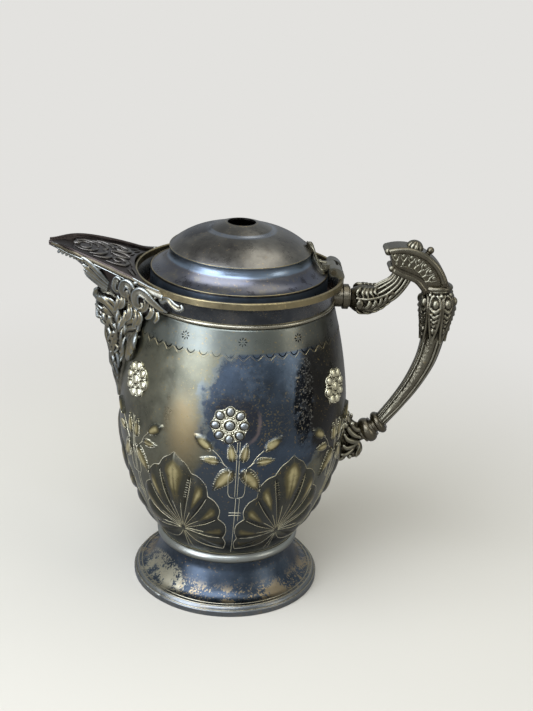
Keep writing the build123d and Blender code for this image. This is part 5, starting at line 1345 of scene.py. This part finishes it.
for number, (start, end) in enumerate(((-0.62, -0.90), (-0.52, -0.70), (-0.42, -0.50), (-0.34, -0.32),
                                       (-0.26, -0.14))):
    rows = [(*on_spout(84 + 0.5 * number, start, 0.6), 1.4),
            (*on_spout(90, 0.6 * start + 0.4 * end, 1.6), 2.3),
            (*on_spout(95, 0.3 * start + 0.7 * end, 2.2), 2.4), (*on_spout(99.4, end, 2.7), 1.7),
            (*on_spout(101.8 - 0.6 * number, end - 0.03, 3.4), 0.6)]
    waves.append(bar(rows, flat=0.6, facing=(-0.3, -0.7, -0.6)))
    waves.append(bar([(x, y - 0.3, z - 1.1, 0.5 * radius) for x, y, z, radius in rows[:-1]]))
waves.append(bar([(-49.8, -45.8, 219.4, 2.0), (-48.4, -48.2, 218.6, 1.7), (-45.6, -51.2, 220.6, 1.5),
                  (-42.4, -54.0, 218.4, 1.5), (-39.0, -56.6, 216.8, 1.6), (-36.0, -58.6, 218.4, 1.3),
                  (-37.4, -57.9, 220.6, 0.9)]))
waves.append(bar([(-48.6, -47.8, 221.6, 1.1), (-44.6, -51.8, 222.0, 1.0), (-40.6, -55.4, 219.8, 1.1),
                  (-38.0, -57.4, 219.2, 0.8)]))
strap_rows = [(-61.6, -30.0, 213.0, 2.0), (-62.4, -27.8, 205.0, 1.9), (-63.4, -27.2, 197.0, 1.7),
              (-64.8, -26.8, 190.4, 1.5)]
waves.append(bar(strap_rows))
waves.append(bar([(-67.6, -21.6, 212.0, 1.8), (-67.4, -21.8, 204.0, 2.0), (-67.8, -22.4, 197.0, 1.7),
                  (-66.6, -25.2, 191.0, 1.2)]))
for turn, length, size in ((-0.5, 12, 2.2), (-0.15, 17, 2.6), (0.25, 22, 2.7), (0.62, 24, 2.4),
                           (1.0, 17, 2.1)):
    root = np.array([-65.0, -26.4, 191.0])
    tip_angle = degrees(atan2(-65.0, 26.4)) - 7.0 * turn - 2.0
    tip = on_jacket(tip_angle, 190.0 - length, 0.8)
    middle = 0.5 * (root + tip) + np.array([-1.3, -2.0 + 1.2 * turn, 1.0])
    bend = 0.35 * middle + 0.65 * tip + np.array([-0.9, -1.0, 0.0])
    waves.append(bar([(*root, 0.9), (*middle, size), (*bend, 0.8 * size), (*tip, 0.5)], flat=0.7,
                     facing=(-0.85, -0.5, 0)))
for number in range(6):
    drop = 209.0 - 4.8 * number
    inward = 0.55 * number
    waves.append(bar([(-63.6, -28.0 + 0.2 * number, drop + 1.0, 1.1),
                      (-67.0, -24.2 + inward, drop + 1.2, 2.4), (-70.6, -19.6 + inward, drop - 1.6, 2.2),
                      (-72.4, -15.8 + 0.6 * inward, drop - 6.6, 0.9)]))
cast("volutes_front", waves, 0.42, spout_metal, stands_for=["spout_scroll_left"], fit=under_spout)
cast("volutes_back", other_side(waves), 0.42, spout_metal, stands_for=["spout_scroll_right"], fit=under_spout)

# %% [markdown]
# ## The spout's top
#
# The plate over the spout was cast with a shallow relief: a boss at the tip with rings that spread from it,
# leaves that meet in the middle, and a scroll on each side near the lid. Along each edge of the trough runs
# a flat band that is rubbed to brass, between two lighter lines, and near the tip a row of small teeth
# hangs under it.

# %% The spout's top
def on_node(node, x, y, above=320.0):
    """The height of a node's upper side at a place, in millimetres, or nothing where it has none."""
    hit, place, _, _ = nodes[node].ray_cast(Vector((x * MM, y * MM, above * MM)), Vector((0, 0, -1)))
    return place.z / MM if hit else None


def on_cover(rows, lift=0.3):
    """Rows of x, y and radius, laid on the spout's plate as rows of a bar."""
    laid = []
    for x, y, radius in rows:
        half, edge, _ = spout_section(-x)
        y = max(-half + 1.6, min(half - 1.6, y))
        height = edge - 1.4 + 0.06 * half * (1 - (y / half) ** 2)
        laid.append((x, y, height + lift, radius))
    return laid


cover_work = []
for side in (-1, 1):
    shapes = [
        [(-104.5, 3.2, 0.5), (-102.2, 5.6, 0.9), (-99.0, 5.4, 1.0), (-97.2, 2.4, 0.8), (-97.0, 0.4, 0.5)],
        [(-107.0, 6.2, 0.5), (-102.6, 9.4, 0.9), (-97.4, 9.2, 1.1), (-93.6, 5.6, 1.0), (-92.6, 1.4, 0.6)],
        [(-97.6, 12.4, 0.5), (-92.4, 12.0, 1.2), (-88.4, 8.4, 1.5), (-86.8, 3.8, 1.1), (-88.8, 1.6, 0.5)],
        [(-94.8, 15.8, 0.5), (-89.0, 15.6, 1.2), (-84.8, 12.6, 1.4), (-83.4, 8.2, 0.8)],
        [(-86.4, 18.4, 0.5), (-80.6, 19.4, 1.0), (-74.8, 17.4, 1.3), (-72.6, 12.4, 1.4), (-75.6, 8.2, 1.3),
         (-80.2, 8.6, 1.2), (-81.6, 12.4, 1.0), (-78.6, 14.6, 0.9), (-76.8, 12.2, 0.7)],
        [(-84.4, 1.0, 0.6), (-80.0, 3.4, 1.1), (-75.0, 3.6, 1.1), (-71.6, 1.2, 0.6)],
        [(-72.4, 5.6, 0.5), (-70.6, 9.8, 0.9), (-69.6, 14.4, 0.5)],
        [(-69.8, 17.4, 0.5), (-67.6, 21.4, 0.8), (-66.4, 24.8, 0.4)],
        [(-72.6, 20.6, 0.4), (-69.6, 24.2, 0.8), (-67.6, 27.6, 0.4)],
    ]
    for shape in shapes:
        cover_work.append(bar(on_cover([(x, side * y, radius) for x, y, radius in shape]), flat=0.75,
                              facing=(0, 0, 1)))
cover_work.append(lump((-106.4, 0, on_cover([(-106.4, 0, 1)])[0][2]), (2.7, 2.1, 1.5)))
cover_work.append(lump((-88.4, 0, on_cover([(-88.4, 0, 1)])[0][2] - 0.3), (1.8, 1.6, 1.1)))
cast("cover_relief", cover_work, 0.36, cover_metal, rounds=1)

RIM_END = ((48.0, 47.6, 224.6), (53.0, 44.4, 225.2), (58.5, 40.8, 226.2))
EDGE_LINES = ((1.6, 1.0, 1.35, 0.5), (0.1, 0.4, 0.5, 1.0), (3.4, 0.9, 0.55, 1.0))
bands, lines_beside, teeth = [], [], []
for side in (-1, 1):
    for number, (drop, out, size, flat) in enumerate(EDGE_LINES):
        rows = [(-distance, side * (half + 0.4 * out), edge - drop, size) for distance, half, edge in RIM_END]
        for distance in np.arange(64.5, 122.6, 2.9):
            half, edge, _ = spout_section(distance)
            shrink = min(1.0, 0.35 + half / 20)
            rows.append((-distance, side * (half + out * shrink), edge - drop * shrink + 0.2, size * shrink))
        made = bar(rows, flat=flat, facing=(-0.3, side, 0))
        (bands if number == 0 else lines_beside).append(made)
    for distance in np.arange(90.0, 118.0, 2.7):
        half, edge, _ = spout_section(distance)
        teeth.append(bar([(-distance + 1.2, side * (half + 0.4), edge - 3.2, 1.3),
                          (-distance + 0.2, side * (half + 0.2), edge - 4.3, 1.3),
                          (-distance - 1.0, side * (half - 0.3), edge - 5.5, 0.8)], flat=0.7,
                         facing=(-0.3, side, 0)))
for side in (-1, 1):
    lines_beside.append(bar([(-distance, side * (half - 0.4), edge - 3.2, 2.3)
                             for distance, half, edge in RIM_END] + [(-63.5, side * 36.8, 223.6, 1.6)],
                            sides=14))
    lines_beside.append(bar([(-distance, side * (half - 1.2), edge - 0.6, 0.9)
                             for distance, half, edge in RIM_END] + [(-64.0, side * 35.6, 227.6, 0.6)]))
lines_beside.append(bar([(-122.6, -3.2, 240.6, 1.0), (-123.1, 0.0, 240.4, 1.1), (-122.6, 3.2, 240.6, 1.0)]))
joined("spout_bands", bands, dull_brass, "worn_brass")
cast("spout_lines_and_teeth", lines_beside + teeth, 0.36, spout_metal, fit=under_spout)

# %% [markdown]
# ## The beak's dish
#
# In front of the covering plate the beak is a shallow dish. It rises from the opening under the plate to
# the tip, so that the last drops run out and not back down the outside.

# %% The beak's dish
DISH = ((103.5, 4.6), (107.0, 4.2), (111.0, 3.2), (115.0, 2.2), (119.0, 1.5), (122.2, 1.0))
DISH_COLUMNS = 13
DISH_SHEET = 1.4
dish_points = []
for distance, drop in smooth(DISH, 0.8):
    half, edge, _ = spout_section(distance)
    for share in np.linspace(-1, 1, DISH_COLUMNS):
        dish_points.append((-distance, share * (half - 0.9), edge - drop + 0.9 * share ** 2))
under = [(x, y, z - DISH_SHEET) for x, y, z in dish_points]
count = len(dish_points)
faces = between(count // DISH_COLUMNS, DISH_COLUMNS, around=False).tolist()
lower = [[number + count for number in face[::-1]] for face in faces]
outline = list(range(0, count, DISH_COLUMNS)) + list(range(count - DISH_COLUMNS + 1, count))
outline += list(range(count - DISH_COLUMNS - 1, DISH_COLUMNS - 1, -DISH_COLUMNS))
outline += list(range(DISH_COLUMNS - 1, 0, -1))
wall = [[a, b, b + count, a + count] for a, b in zip(outline, outline[1:] + outline[:1])]
piece("beak_dish", dish_points + under, faces + lower + wall, [cover_metal], "cast_white_metal",
      worn=np.full(2 * count, 0.2))

# %% [markdown]
# ## The handle's arm
#
# The arm leaves the socket as a bulb wrapped in leaves, whose tips curl in nested crescents, and narrows to
# a neck with bold flutes that climbs to the arched crest. A small nub marks where the two halves of the
# mould met.

# %% The handle's arm
ARM = smooth([(74, 210, 6.2), (79, 209.2, 9.4), (84.5, 208.8, 10.0), (91, 210.2, 8.9), (97, 213.6, 7.2),
              (102.5, 218, 6.0), (106.5, 223, 5.6), (109.5, 231, 5.6)], 0.8)


def on_bar(stations, share, turn, lift=0.0):
    """A place on a bar of x, z and radius in the handle's plane, turned down from its upper side."""
    at = share * (len(stations) - 1)
    x, z, radius = [np.interp(at, np.arange(len(stations)), stations[:, column]) for column in range(3)]
    run = stations[min(int(at) + 2, len(stations) - 1)] - stations[max(int(at) - 1, 0)]
    length = hypot(run[0], run[1])
    angle = radians(turn)
    outward = (radius + lift) * cos(angle)
    return np.array([x - outward * run[1] / length, -(radius + lift) * sin(angle),
                     z + outward * run[0] / length])


def swept(stations, shape, columns, step):
    """A closed skin round a bar of x, z and radius. shape gives the radius's factor and the wear and sheen.
    """
    stations = smooth(stations, step)
    turns = np.arange(columns) * 360 / columns
    shares = np.linspace(0, 1, len(stations))
    grid = np.array([[on_bar(stations, share, turn) for turn in turns] for share in shares])
    middle = np.stack([stations[:, 0], np.zeros(len(stations)), stations[:, 1]], axis=1)[:, None]
    swell, worn = shape(shares[:, None], turns[None, :])
    points = (middle + (grid - middle) * swell[..., None]).reshape(-1, 3)
    faces = [face[::-1] for face in skin_faces(len(shares), columns)]
    return points, faces, np.broadcast_to(worn, swell.shape).ravel()


arm_work = [bar([(x, 0, z, radius - 0.5) for x, z, radius in ARM[::4]], sides=22)]


def leaf_on_arm(side, *rows):
    """Lays a bar on one side of the arm, along rows of share, turn, lift and radius."""
    rows = [(*on_bar(ARM, share, side * turn, lift), radius) for share, turn, lift, radius in rows]
    arm_work.append(bar(rows))


for side in (-1, 1):
    for number in range(5):
        share = 0.08 + 0.085 * number
        size = 1.5 - 0.12 * number
        leaf_on_arm(side, (share + 0.10, 20, 0.0, 0.5), (share + 0.04, 34, 0.4, size), (share, 52, 0.4, size),
                    (share + 0.03, 66, 0.1, 0.6))
    arm_work.append(lump(on_bar(ARM, 0.15, side * 96, 0.1), (2.8, 1.6, 3.3)))
    for number in range(4):
        share = 0.235 + 0.09 * number
        size = 1.6 - 0.18 * number
        leaf_on_arm(side, (share + 0.03, 74, 0.0, 0.5), (share + 0.05, 86, 0.4, size),
                    (share + 0.01, 102, 0.4, size), (share - 0.06, 116, 0.0, 0.5))
    for number in range(6):
        share = 0.12 + 0.08 * number
        leaf_on_arm(side, (share, 122, 0.0, 0.5), (share + 0.05, 136, 0.4, 1.0),
                    (share + 0.13, 152, 0.1, 0.5))
    leaf_on_arm(side, (0.08, 74, 0.2, 0.8), (0.25, 73, 0.6, 0.9), (0.42, 76, 0.6, 0.9), (0.56, 84, 0.5, 0.8),
                (0.64, 98, 0.4, 0.6))
    leaf_on_arm(side, (0.1, 118, 0.1, 0.7), (0.3, 120, 0.4, 0.9), (0.48, 116, 0.4, 0.8),
                (0.62, 104, 0.3, 0.6))
    arm_work.append(lump(on_bar(ARM, 0.63, side * 96, 0.4), (1.2, 1.0, 1.2)))
    for number, turn in enumerate((12, 36, 60, 84, 112, 142, 168)):
        start = 0.40 + 0.02 * abs(number - 2)
        leaf_on_arm(side, (start, turn, -0.5, 0.5), (start + 0.12, turn, 0.35, 0.95),
                    (0.72, turn, 0.35, 1.05), (0.86, turn, 0.3, 1.05), (1.0, turn, 0.3, 1.0))
cast("handle_arm_leaves", arm_work, 0.36, cast_metal, stands_for=["handle_upper_arm"], rounds=1)

# %% [markdown]
# ## The handle's crest
#
# The arched crest carries a frieze of small cups on stems, like a row of flowers, between fine borders. On
# its cap sits a fluted button beside a plain knob. The button is a low dome whose ten ribs run down from
# the top.

# %% The handle's crest
CREST_MIDDLE = (106.0, 215.5)
CREST_CUPS = 7
FRIEZE_ASIDE = 6.15
DOME_TURN = 74.5
CREST_FOOT = ((100.8, 231.6), (107.5, 228.4), (116.5, 225.0), (123.4, 217.8))


def on_crest(turn, reach, y):
    """A place on the crest: an angle round its middle, a distance from there, and a distance aside."""
    return (CREST_MIDDLE[0] + reach * cos(radians(turn)), y, CREST_MIDDLE[1] + reach * sin(radians(turn)))


frieze = []
for side in (-1, 1):
    y = side * FRIEZE_ASIDE
    for number in range(CREST_CUPS):
        turn = 100.0 - 12.1 * number
        foot = 20.6 - 0.25 * number
        for rows in (
            [(turn, foot - 0.4, 1.2), (turn, foot + 2.0, 0.9), (turn + 3.8, foot + 4.0, 0.95),
             (turn + 5.0, foot + 7.4, 0.85)],
            [(turn, foot + 1.6, 0.9), (turn - 3.8, foot + 4.0, 0.95), (turn - 5.0, foot + 7.4, 0.85)],
        ):
            frieze.append(bar([(*on_crest(angle, reach, y), radius) for angle, reach, radius in rows],
                              sides=6, step=0.6))
        frieze.append(lump(on_crest(turn, foot - 0.2, y), (1.1, 0.8, 1.1)))
        frieze.append(lump(on_crest(turn, foot + 5.9, y), (1.6, 0.9, 1.6)))
    for reach, low, high in ((28.2, 14, 106), (19.0, 20, 96)):
        frieze.append(bar([(*on_crest(turn, reach, y), 0.45) for turn in np.arange(low, high, 8)], sides=6))
mouldings = [bar([(131.7 + 8.9 * sin(radians(turn)), 7.7 * cos(radians(turn)), 219.6, 2.0)
                  for turn in range(0, 361, 20)], sides=14)]
for y in (-6.5, 6.5):
    mouldings.append(bar([(*on_crest(turn, 30.1, y), 2.15) for turn in range(107, 12, -7)], sides=14))
    mouldings.append(bar([(x, y * 0.95, z, 1.9) for x, z in CREST_FOOT], sides=14))
for x, z in ((99.9, 232.2), (123.6, 217.6)):
    mouldings.append(bar([(x, aside, z, 2.1) for aside in (-6.2, 0, 6.2)], sides=14))
for turn in (108.5, 14):
    mouldings.append(bar([(*on_crest(turn, 30.0, aside), 2.35) for aside in (-6.5, 0, 6.5)], sides=14))
joined("crest_mouldings", mouldings, cast_metal, "cast_white_metal", sheen_and_wear=0.28)
joined("crest_frieze", frieze, cast_metal, "cast_white_metal", sheen_and_wear=0.6)

dome_rings, dome_columns = 14, 120
polar = np.linspace(0.04, pi / 2, dome_rings)
around = np.arange(dome_columns) * 2 * pi / dome_columns
ribs = np.abs(np.sin(5 * around)) ** 0.8
swell = 1 + 0.13 * np.outer(np.sin(polar) ** 0.6, ribs - 0.6)
dome_out = np.array([cos(radians(DOME_TURN)), 0, sin(radians(DOME_TURN))])
dome_side = np.array([sin(radians(DOME_TURN)), 0, -cos(radians(DOME_TURN))])
dome_foot = np.array(on_crest(DOME_TURN, 31.6, 0))
level = np.cos(around)[None, :, None] * dome_side + np.sin(around)[None, :, None] * np.array([0, 1.0, 0])
reach = 5.5 * np.sin(polar)[:, None] * swell
rise = 5.0 * np.cos(polar)[:, None] * np.ones(dome_columns)
points = (dome_foot + reach[..., None] * level + rise[..., None] * dome_out).reshape(-1, 3)
worn = (np.sin(polar)[:, None] * (1.6 * ribs - 0.9)).ravel()
piece("fluted_button", points, skin_faces(dome_rings, dome_columns), [cast_metal], "cast_white_metal",
      stands_for=["handle_crest_dome"], worn=worn)

# %% [markdown]
# ## Capital and shaft
#
# Under the slab the handle swells to a capital of eight petals. Each petal holds an oval ball and hanging
# crescents that shrink to a drop, and between the petals run seams that start in a small ball. Below it the
# shaft has a stippled panel in front and behind, between raised edges, and plain flutes on its sides.

# %% Capital and shaft
CAPITAL = np.array([
    (131.9, 219.4, 8.0), (132.5, 215.6, 9.4), (133.0, 211.0, 11.4), (133.2, 204.0, 11.6), (133.0, 194.0, 9.9),
    (132.4, 184.0, 8.2),
])
PETALS = 8
PETAL_START = -15.0
HANDLE_LIMITS = (146.2, 99.0, 999.0)


def on_capital(turn, height, lift=0.0):
    """A place on the capital: degrees round from the front, and a height."""
    middle, radius = [np.interp(-height, -CAPITAL[:, 1], CAPITAL[:, column]) for column in (0, 2)]
    return (middle + (radius + lift) * sin(radians(turn)), -(radius + lift) * cos(radians(turn)), height)


capital_work = [bar([(x, 0, z, radius - 0.1) for x, z, radius in CAPITAL], sides=26)]
for petal in range(PETALS):
    turn = PETAL_START + 45 * petal
    capital_work.append(lump(on_capital(turn, 210.2, -0.5), (2.6, 2.6, 3.4)))
    for height, half, size in ((205.2, 14.5, 1.5), (201.2, 12.5, 1.35), (197.6, 10.5, 1.15),
                               (194.4, 8.0, 0.95)):
        capital_work.append(bar([(*on_capital(turn + aside * half, height + 2.2 * aside * aside, 0.1),
                                  size * (1.1 - 0.45 * abs(aside))) for aside in (-1, -0.5, 0, 0.5, 1)]))
    capital_work.append(lump(on_capital(turn, 190.8, 0.1), (1.2, 1.2, 2.2)))
    for side in (-1, 1):
        capital_work.append(bar([(*on_capital(turn + side * aside, height, 0.1), 1.0)
                                 for aside, height in ((4, 216.0), (15.5, 213.6), (18.5, 208.0),
                                                       (18.0, 200.5), (14.5, 193.5), (8.0, 187.0),
                                                       (0.5, 181.6))]))
    seam = turn + 22.5
    capital_work.append(lump(on_capital(seam, 215.8, 0.3), (1.5, 1.5, 1.5)))
    capital_work.append(bar([(*on_capital(turn + aside, 218.2, 0.2), 1.0) for aside in (-23, 0, 23)]))


def inside_box(places):
    """Keeps a casting within the width that the handle has."""
    return np.minimum(places, HANDLE_LIMITS)


cast("capital_petals", capital_work, 0.38, cast_metal, stands_for=["handle_capital"], fit=inside_box,
     rounds=1)

SHAFT = [(132.8, 188.0, 8.4), (132.4, 182.0, 7.9), (129.2, 167.0, 7.2), (121.9, 150.0, 6.2),
         (112.8, 135.0, 5.4), (102.2, 120.2, 4.9)]
PANEL_HALF = 30.0
PANEL_TURN = 108.0


def shaft_shape(share, turn):
    """The shaft's section: a panel in front and behind, between raised edges, and flutes on the sides."""
    from_front = np.abs(np.minimum(turn, 360 - turn) - PANEL_TURN) + 0 * share
    edge = PANEL_HALF * (1 - 0.35 * eased((share - 0.75) / 0.25))
    raised = np.exp(-((from_front - edge - 7) / 4.5) ** 2)
    raised = raised + 0.8 * np.exp(-((from_front - edge - 27) / 6.0) ** 2)
    groove = np.exp(-((from_front - edge + 1) / 3.0) ** 2) + np.exp(-((from_front - edge - 17) / 4.0) ** 2)
    groove = groove + 0.9 * np.exp(-((from_front - 80) / 6.0) ** 2)
    centre = np.exp(-(from_front / 5.0) ** 2) * eased((share - 0.8) / 0.12)
    stipple = 0.012 * chance.standard_normal(from_front.shape) * (from_front < edge - 3)
    sheen_and_wear = 0.2 + raised * 0.8 - groove * 0.8 + centre + 0.12 * (from_front < edge - 3)
    return 0.97 + 0.055 * raised - 0.05 * groove + 0.05 * centre + stipple, sheen_and_wear


points, faces, worn = swept(SHAFT, shaft_shape, 132, 0.7)
piece("stippled_shaft", points, faces, [cast_metal], "cast_white_metal", stands_for=["handle_shaft"],
      worn=worn)

# %% [markdown]
# ## The handle's foot
#
# Under the beads the handle meets the jacket in a cast cluster of leaves. One thick leaf rolls over itself
# at the bottom, a small bud stands up at the top, and leaves lie to both sides on the jacket, where they
# are soldered.

# %% The handle's foot
foot_work = [lump((77.4, 0, 108.0), (5.6, 8.4, 17.0))]
foot_work.append(bar([(78, 0, 107, 6.0), (86, 0, 109, 5.2), (92.5, 0, 112, 5.4)], sides=16))
for side in (-1, 1):
    for rows in (
        [(79.0, 1.5, 124.0, 1.0), (80.6, 3.4, 119.0, 2.0), (85.0, 4.4, 114.8, 2.1), (90.5, 4.2, 114.4, 1.3)],
        [(77.6, 5.6, 121.0, 0.9), (79.8, 7.0, 116.0, 1.9), (83.8, 6.8, 111.8, 2.1), (89.0, 5.6, 109.6, 1.3)],
        [(76.6, 9.6, 113.6, 0.9), (79.2, 9.4, 109.6, 1.8), (83.4, 7.8, 107.4, 2.0), (88.4, 5.0, 106.4, 1.2)],
        [(76.4, 10.4, 105.4, 0.9), (79.2, 9.2, 102.8, 1.8), (83.0, 6.4, 102.8, 1.9), (87.0, 3.2, 103.8, 1.3)],
        [(75.8, 9.2, 97.6, 0.9), (79.0, 7.4, 97.0, 1.8), (83.2, 4.4, 99.2, 1.9), (86.0, 2.0, 102.0, 1.3)],
        [(74.6, 6.0, 91.6, 0.9), (77.4, 5.2, 93.2, 1.7), (80.8, 3.4, 97.4, 1.8)],
    ):
        foot_work.append(bar([(x, side * y, z, radius) for x, y, z, radius in rows]))
foot_work.append(bar([(74.2, 0, 89.4, 0.8), (76.6, 0, 91.2, 1.8), (79.4, 0, 95.4, 2.2)]))
foot_work.append(bar([(84.0, 0, 104.5, 3.0), (87.2, 0, 102.0, 3.2), (88.6, 0, 98.2, 3.2),
                      (86.4, 0, 94.9, 3.0), (82.6, 0, 94.4, 2.6), (80.6, 0, 97.0, 1.8)], sides=14))
for side in (-1, 1):
    for drop in (-1.6, 0.6, 2.8):
        foot_work.append(bar([(88.9 - 0.4 * abs(drop), side * 1.2, 101.6 + drop * 0.2, 0.6),
                              (90.4 - 0.5 * abs(drop), side * 2.6, 98.0 + drop, 0.9),
                              (87.0, side * 3.6, 94.0 + 0.5 * drop, 0.6)]))
foot_work.append(lump((78.6, 0, 124.6), (2.3, 2.5, 2.5)))
for _ in range(46):
    spot = np.array([76.5 + 8.5 * chance.random(), -8.0 + 16.0 * chance.random(),
                     93.0 + 28.0 * chance.random()])
    spot[0] -= 0.25 * abs(spot[1])
    foot_work.append(lump(spot, 1.0 + 1.5 * chance.random(3)))


def beside_jacket(places):
    """Keeps a casting on the jacket, sunk half into its metal."""
    reach = np.hypot(places[:, 0], places[:, 1])
    push = np.maximum((jacket_line(np.clip(places[:, 2], JACKET_LOW, JACKET_HIGH)) - SUNK) / reach, 1)
    return np.stack([places[:, 0] * push, places[:, 1] * push, places[:, 2]], axis=1)


cast("handle_foot_leaves", foot_work, 0.38, cast_metal, stands_for=["handle_lower_mount"], fit=beside_jacket,
     rounds=1)

# %% [markdown]
# ## The lid's leaf and lines
#
# The leaf that carries the lid's knuckle has a midrib and side veins. The lid itself has three fine lines
# and the foot's ring has three more, where the spinner's tool left an edge that the polish wore to metal.

# %% The lid's leaf and lines
def on_leaf(rows, lift=0.15):
    """Rows of x, y and radius, laid on the hinge leaf."""
    laid = []
    for x, y, radius in rows:
        height = on_node("hinge_leaf", x, y)
        if height:
            laid.append((x, y, height + lift, radius))
    return laid


veins = []
vein_rows = [[(44.6, 0, 0.4), (46.5, 0, 0.8), (50.5, 0, 0.9), (54.5, 0, 0.9), (57.2, 0, 0.7)]]
for side in (-1, 1):
    for start, end in (((46.0, 1.0), (45.6, 5.2)), ((49.0, 1.2), (49.4, 8.2)), ((52.0, 1.3), (53.0, 9.6)),
                       ((54.8, 1.3), (56.2, 7.4))):
        middle = (0.5 * (start[0] + end[0]) + 0.7, 0.5 * (start[1] + end[1]))
        vein_rows.append([(start[0], side * start[1], 0.35), (middle[0], side * middle[1], 0.6),
                          (end[0], side * end[1], 0.35)])
    outline = [(44.4, 0.6, 0.35), (45.4, 4.0, 0.5), (47.6, 7.0, 0.5), (51.6, 9.8, 0.5), (54.2, 10.4, 0.5),
               (56.6, 7.0, 0.4)]
    vein_rows.append([(x, side * y, radius) for x, y, radius in outline])
for rows in vein_rows:
    laid = on_leaf(rows)
    if len(laid) > 1:
        veins.append(bar(laid, sides=6, step=0.6))
joined("lid_leaf_veins", veins, cast_metal, "cast_white_metal", body="lid", sheen_and_wear=0.5)


def line_round(node, radius, size, sunk=0.0):
    """A thin line that runs round on a node at a distance from the axis."""
    places = [on_node(node, radius * cos(turn), radius * sin(turn))
              for turn in np.radians(np.arange(90, 270, 6))]
    height = float(np.median([place for place in places if place])) - sunk
    turns = np.radians(np.arange(0, 360, 2.0))
    section = np.radians(np.arange(0, 360, 60))
    out = radius + size * np.cos(section)
    ring = np.stack([np.outer(np.cos(turns), out), np.outer(np.sin(turns), out),
                     np.broadcast_to(height + size * np.sin(section), (len(turns), 6))], axis=-1)
    faces = between(len(turns), 6).tolist()
    last = (len(turns) - 1) * 6
    faces += [[last + number, last + (number + 1) % 6, (number + 1) % 6, number] for number in range(6)]
    return ring.reshape(-1, 3), faces


rings = [line_round("lid_shell", *line) for line in ((46.3, 0.3), (58.0, 0.35), (10.3, 0.4, 0.35))]
joined("lid_lines", rings, brass_edge, "tarnished_plate", body="lid")
rings = [line_round("foot_ring", *line) for line in ((59.6, 0.45), (62.0, 0.5), (64.0, 0.45))]
joined("foot_lines", rings, collar_plate, "tarnished_plate")

# %% [markdown]
# ## Floor, backdrop and light
#
# Dark polished metal shows its surroundings more than its own colour. The main light is a tall soft lamp at
# the left, about level with the camera, which draws an upright highlight on the belly. Another lamp hangs
# above and a weak one stands on the right. The floor and the world are pale and plain where the camera sees
# them, and darker where the metal mirrors them, because plate that mirrors only white looks like paint.

# %% Floor and light
FLOOR_COLOUR = "#c2bbaa"
MIRRORED_FLOOR = "#8f8c88"
FLOOR_SEEN = "#e3e2df"
WORLD_MIRRORED = "#b4bac1"
PLAIN_FROM = 0.16
PLAIN_TO = 0.6
FLOOR_HALF = 6.0
floor_material = bpy.data.materials.new("pale_studio_floor")
floor_material.use_nodes = True
floor_tree = floor_material.node_tree
floor_shader = floor_tree.nodes["Principled BSDF"]
mirrored = add(floor_tree, "ShaderNodeLightPath", give="Is Glossy Ray")
inputs = {0: mirrored, 6: linear(FLOOR_COLOUR), 7: linear(MIRRORED_FLOOR)}
floor_tone = add(floor_tree, "ShaderNodeMix", inputs, MIX_OUT, data_type="RGBA")
floor_tree.links.new(floor_tone, floor_shader.inputs["Base Color"])
floor_shader.inputs["Roughness"].default_value = 0.9
place = add(floor_tree, "ShaderNodeTexCoord", give="Object")
away = add(floor_tree, "ShaderNodeVectorMath", {0: place}, "Value", operation="LENGTH")
inputs = {"Value": away, "From Min": PLAIN_FROM, "From Max": PLAIN_TO}
far = add(floor_tree, "ShaderNodeMapRange", inputs, interpolation_type="SMOOTHSTEP")
by_camera = add(floor_tree, "ShaderNodeLightPath", give="Is Camera Ray")
plain = add(floor_tree, "ShaderNodeMath", {0: far, 1: by_camera}, operation="MULTIPLY")
paper = add(floor_tree, "ShaderNodeEmission", {"Color": linear(FLOOR_SEEN), "Strength": 1.0})
both = add(floor_tree, "ShaderNodeMixShader", {0: plain, 1: floor_shader.outputs[0], 2: paper})
floor_tree.links.new(both, floor_tree.nodes["Material Output"].inputs["Surface"])
floor_mesh = bpy.data.meshes.new("floor")
corners = [(side_x * FLOOR_HALF, side_y * FLOOR_HALF, 0)
           for side_x, side_y in ((-1, -1), (1, -1), (1, 1), (-1, 1))]
floor_mesh.from_pydata(corners, [], [(0, 1, 2, 3)])
floor_mesh.materials.append(floor_material)
floor = bpy.data.objects.new("floor", floor_mesh)
bpy.context.scene.collection.objects.link(floor)


def softbox(name, place, aim, sizes, power, tone="#ffffff"):
    """A soft lamp at a place in metres, turned to what it lights, with its width and height."""
    lamp = bpy.data.lights.new(name, "AREA")
    lamp.shape = "RECTANGLE"
    lamp.size, lamp.size_y = sizes
    lamp.energy = power
    lamp.color = linear(tone)[:3]
    lamp_object = bpy.data.objects.new(name, lamp)
    lamp_object.location = place
    lamp_object.rotation_euler = (Vector(aim) - Vector(place)).to_track_quat("-Z", "Y").to_euler()
    bpy.context.scene.collection.objects.link(lamp_object)


softbox("key_lamp", (-1.05, -1.0, 0.5), (0, 0, 0.14), (0.8, 1.1), 19, "#e2ebff")
softbox("low_lamp", (-0.5, -1.8, 0.36), (0, 0, 0.2), (1.9, 0.3), 3.8, "#dde8ff")
softbox("high_lamp", (-0.5, -0.7, 1.35), (0, 0, 0.15), (1.9, 0.9), 33, "#e2ebff")
softbox("top_lamp", (0.5, 0.0, 1.6), (0, 0, 0.15), (1.3, 0.8), 6)
softbox("fill_lamp", (1.5, -0.8, 0.6), (0, 0, 0.12), (0.5, 0.9), 4)
world = bpy.data.worlds.new("studio")
world.use_nodes = True
world_tree = world.node_tree
seen = add(world_tree, "ShaderNodeLightPath", give="Is Camera Ray")
world_tone = add(world_tree, "ShaderNodeMix", {0: seen, 6: linear(WORLD_MIRRORED), 7: linear(FLOOR_SEEN)},
                 MIX_OUT, data_type="RGBA")
world_tree.links.new(world_tone, world_tree.nodes["Background"].inputs["Color"])
world_tree.nodes["Background"].inputs["Strength"].default_value = 1.0
bpy.context.scene.world = world
bpy.context.scene.view_settings.view_transform = "Standard"
print("lamps:", len(bpy.data.lights))
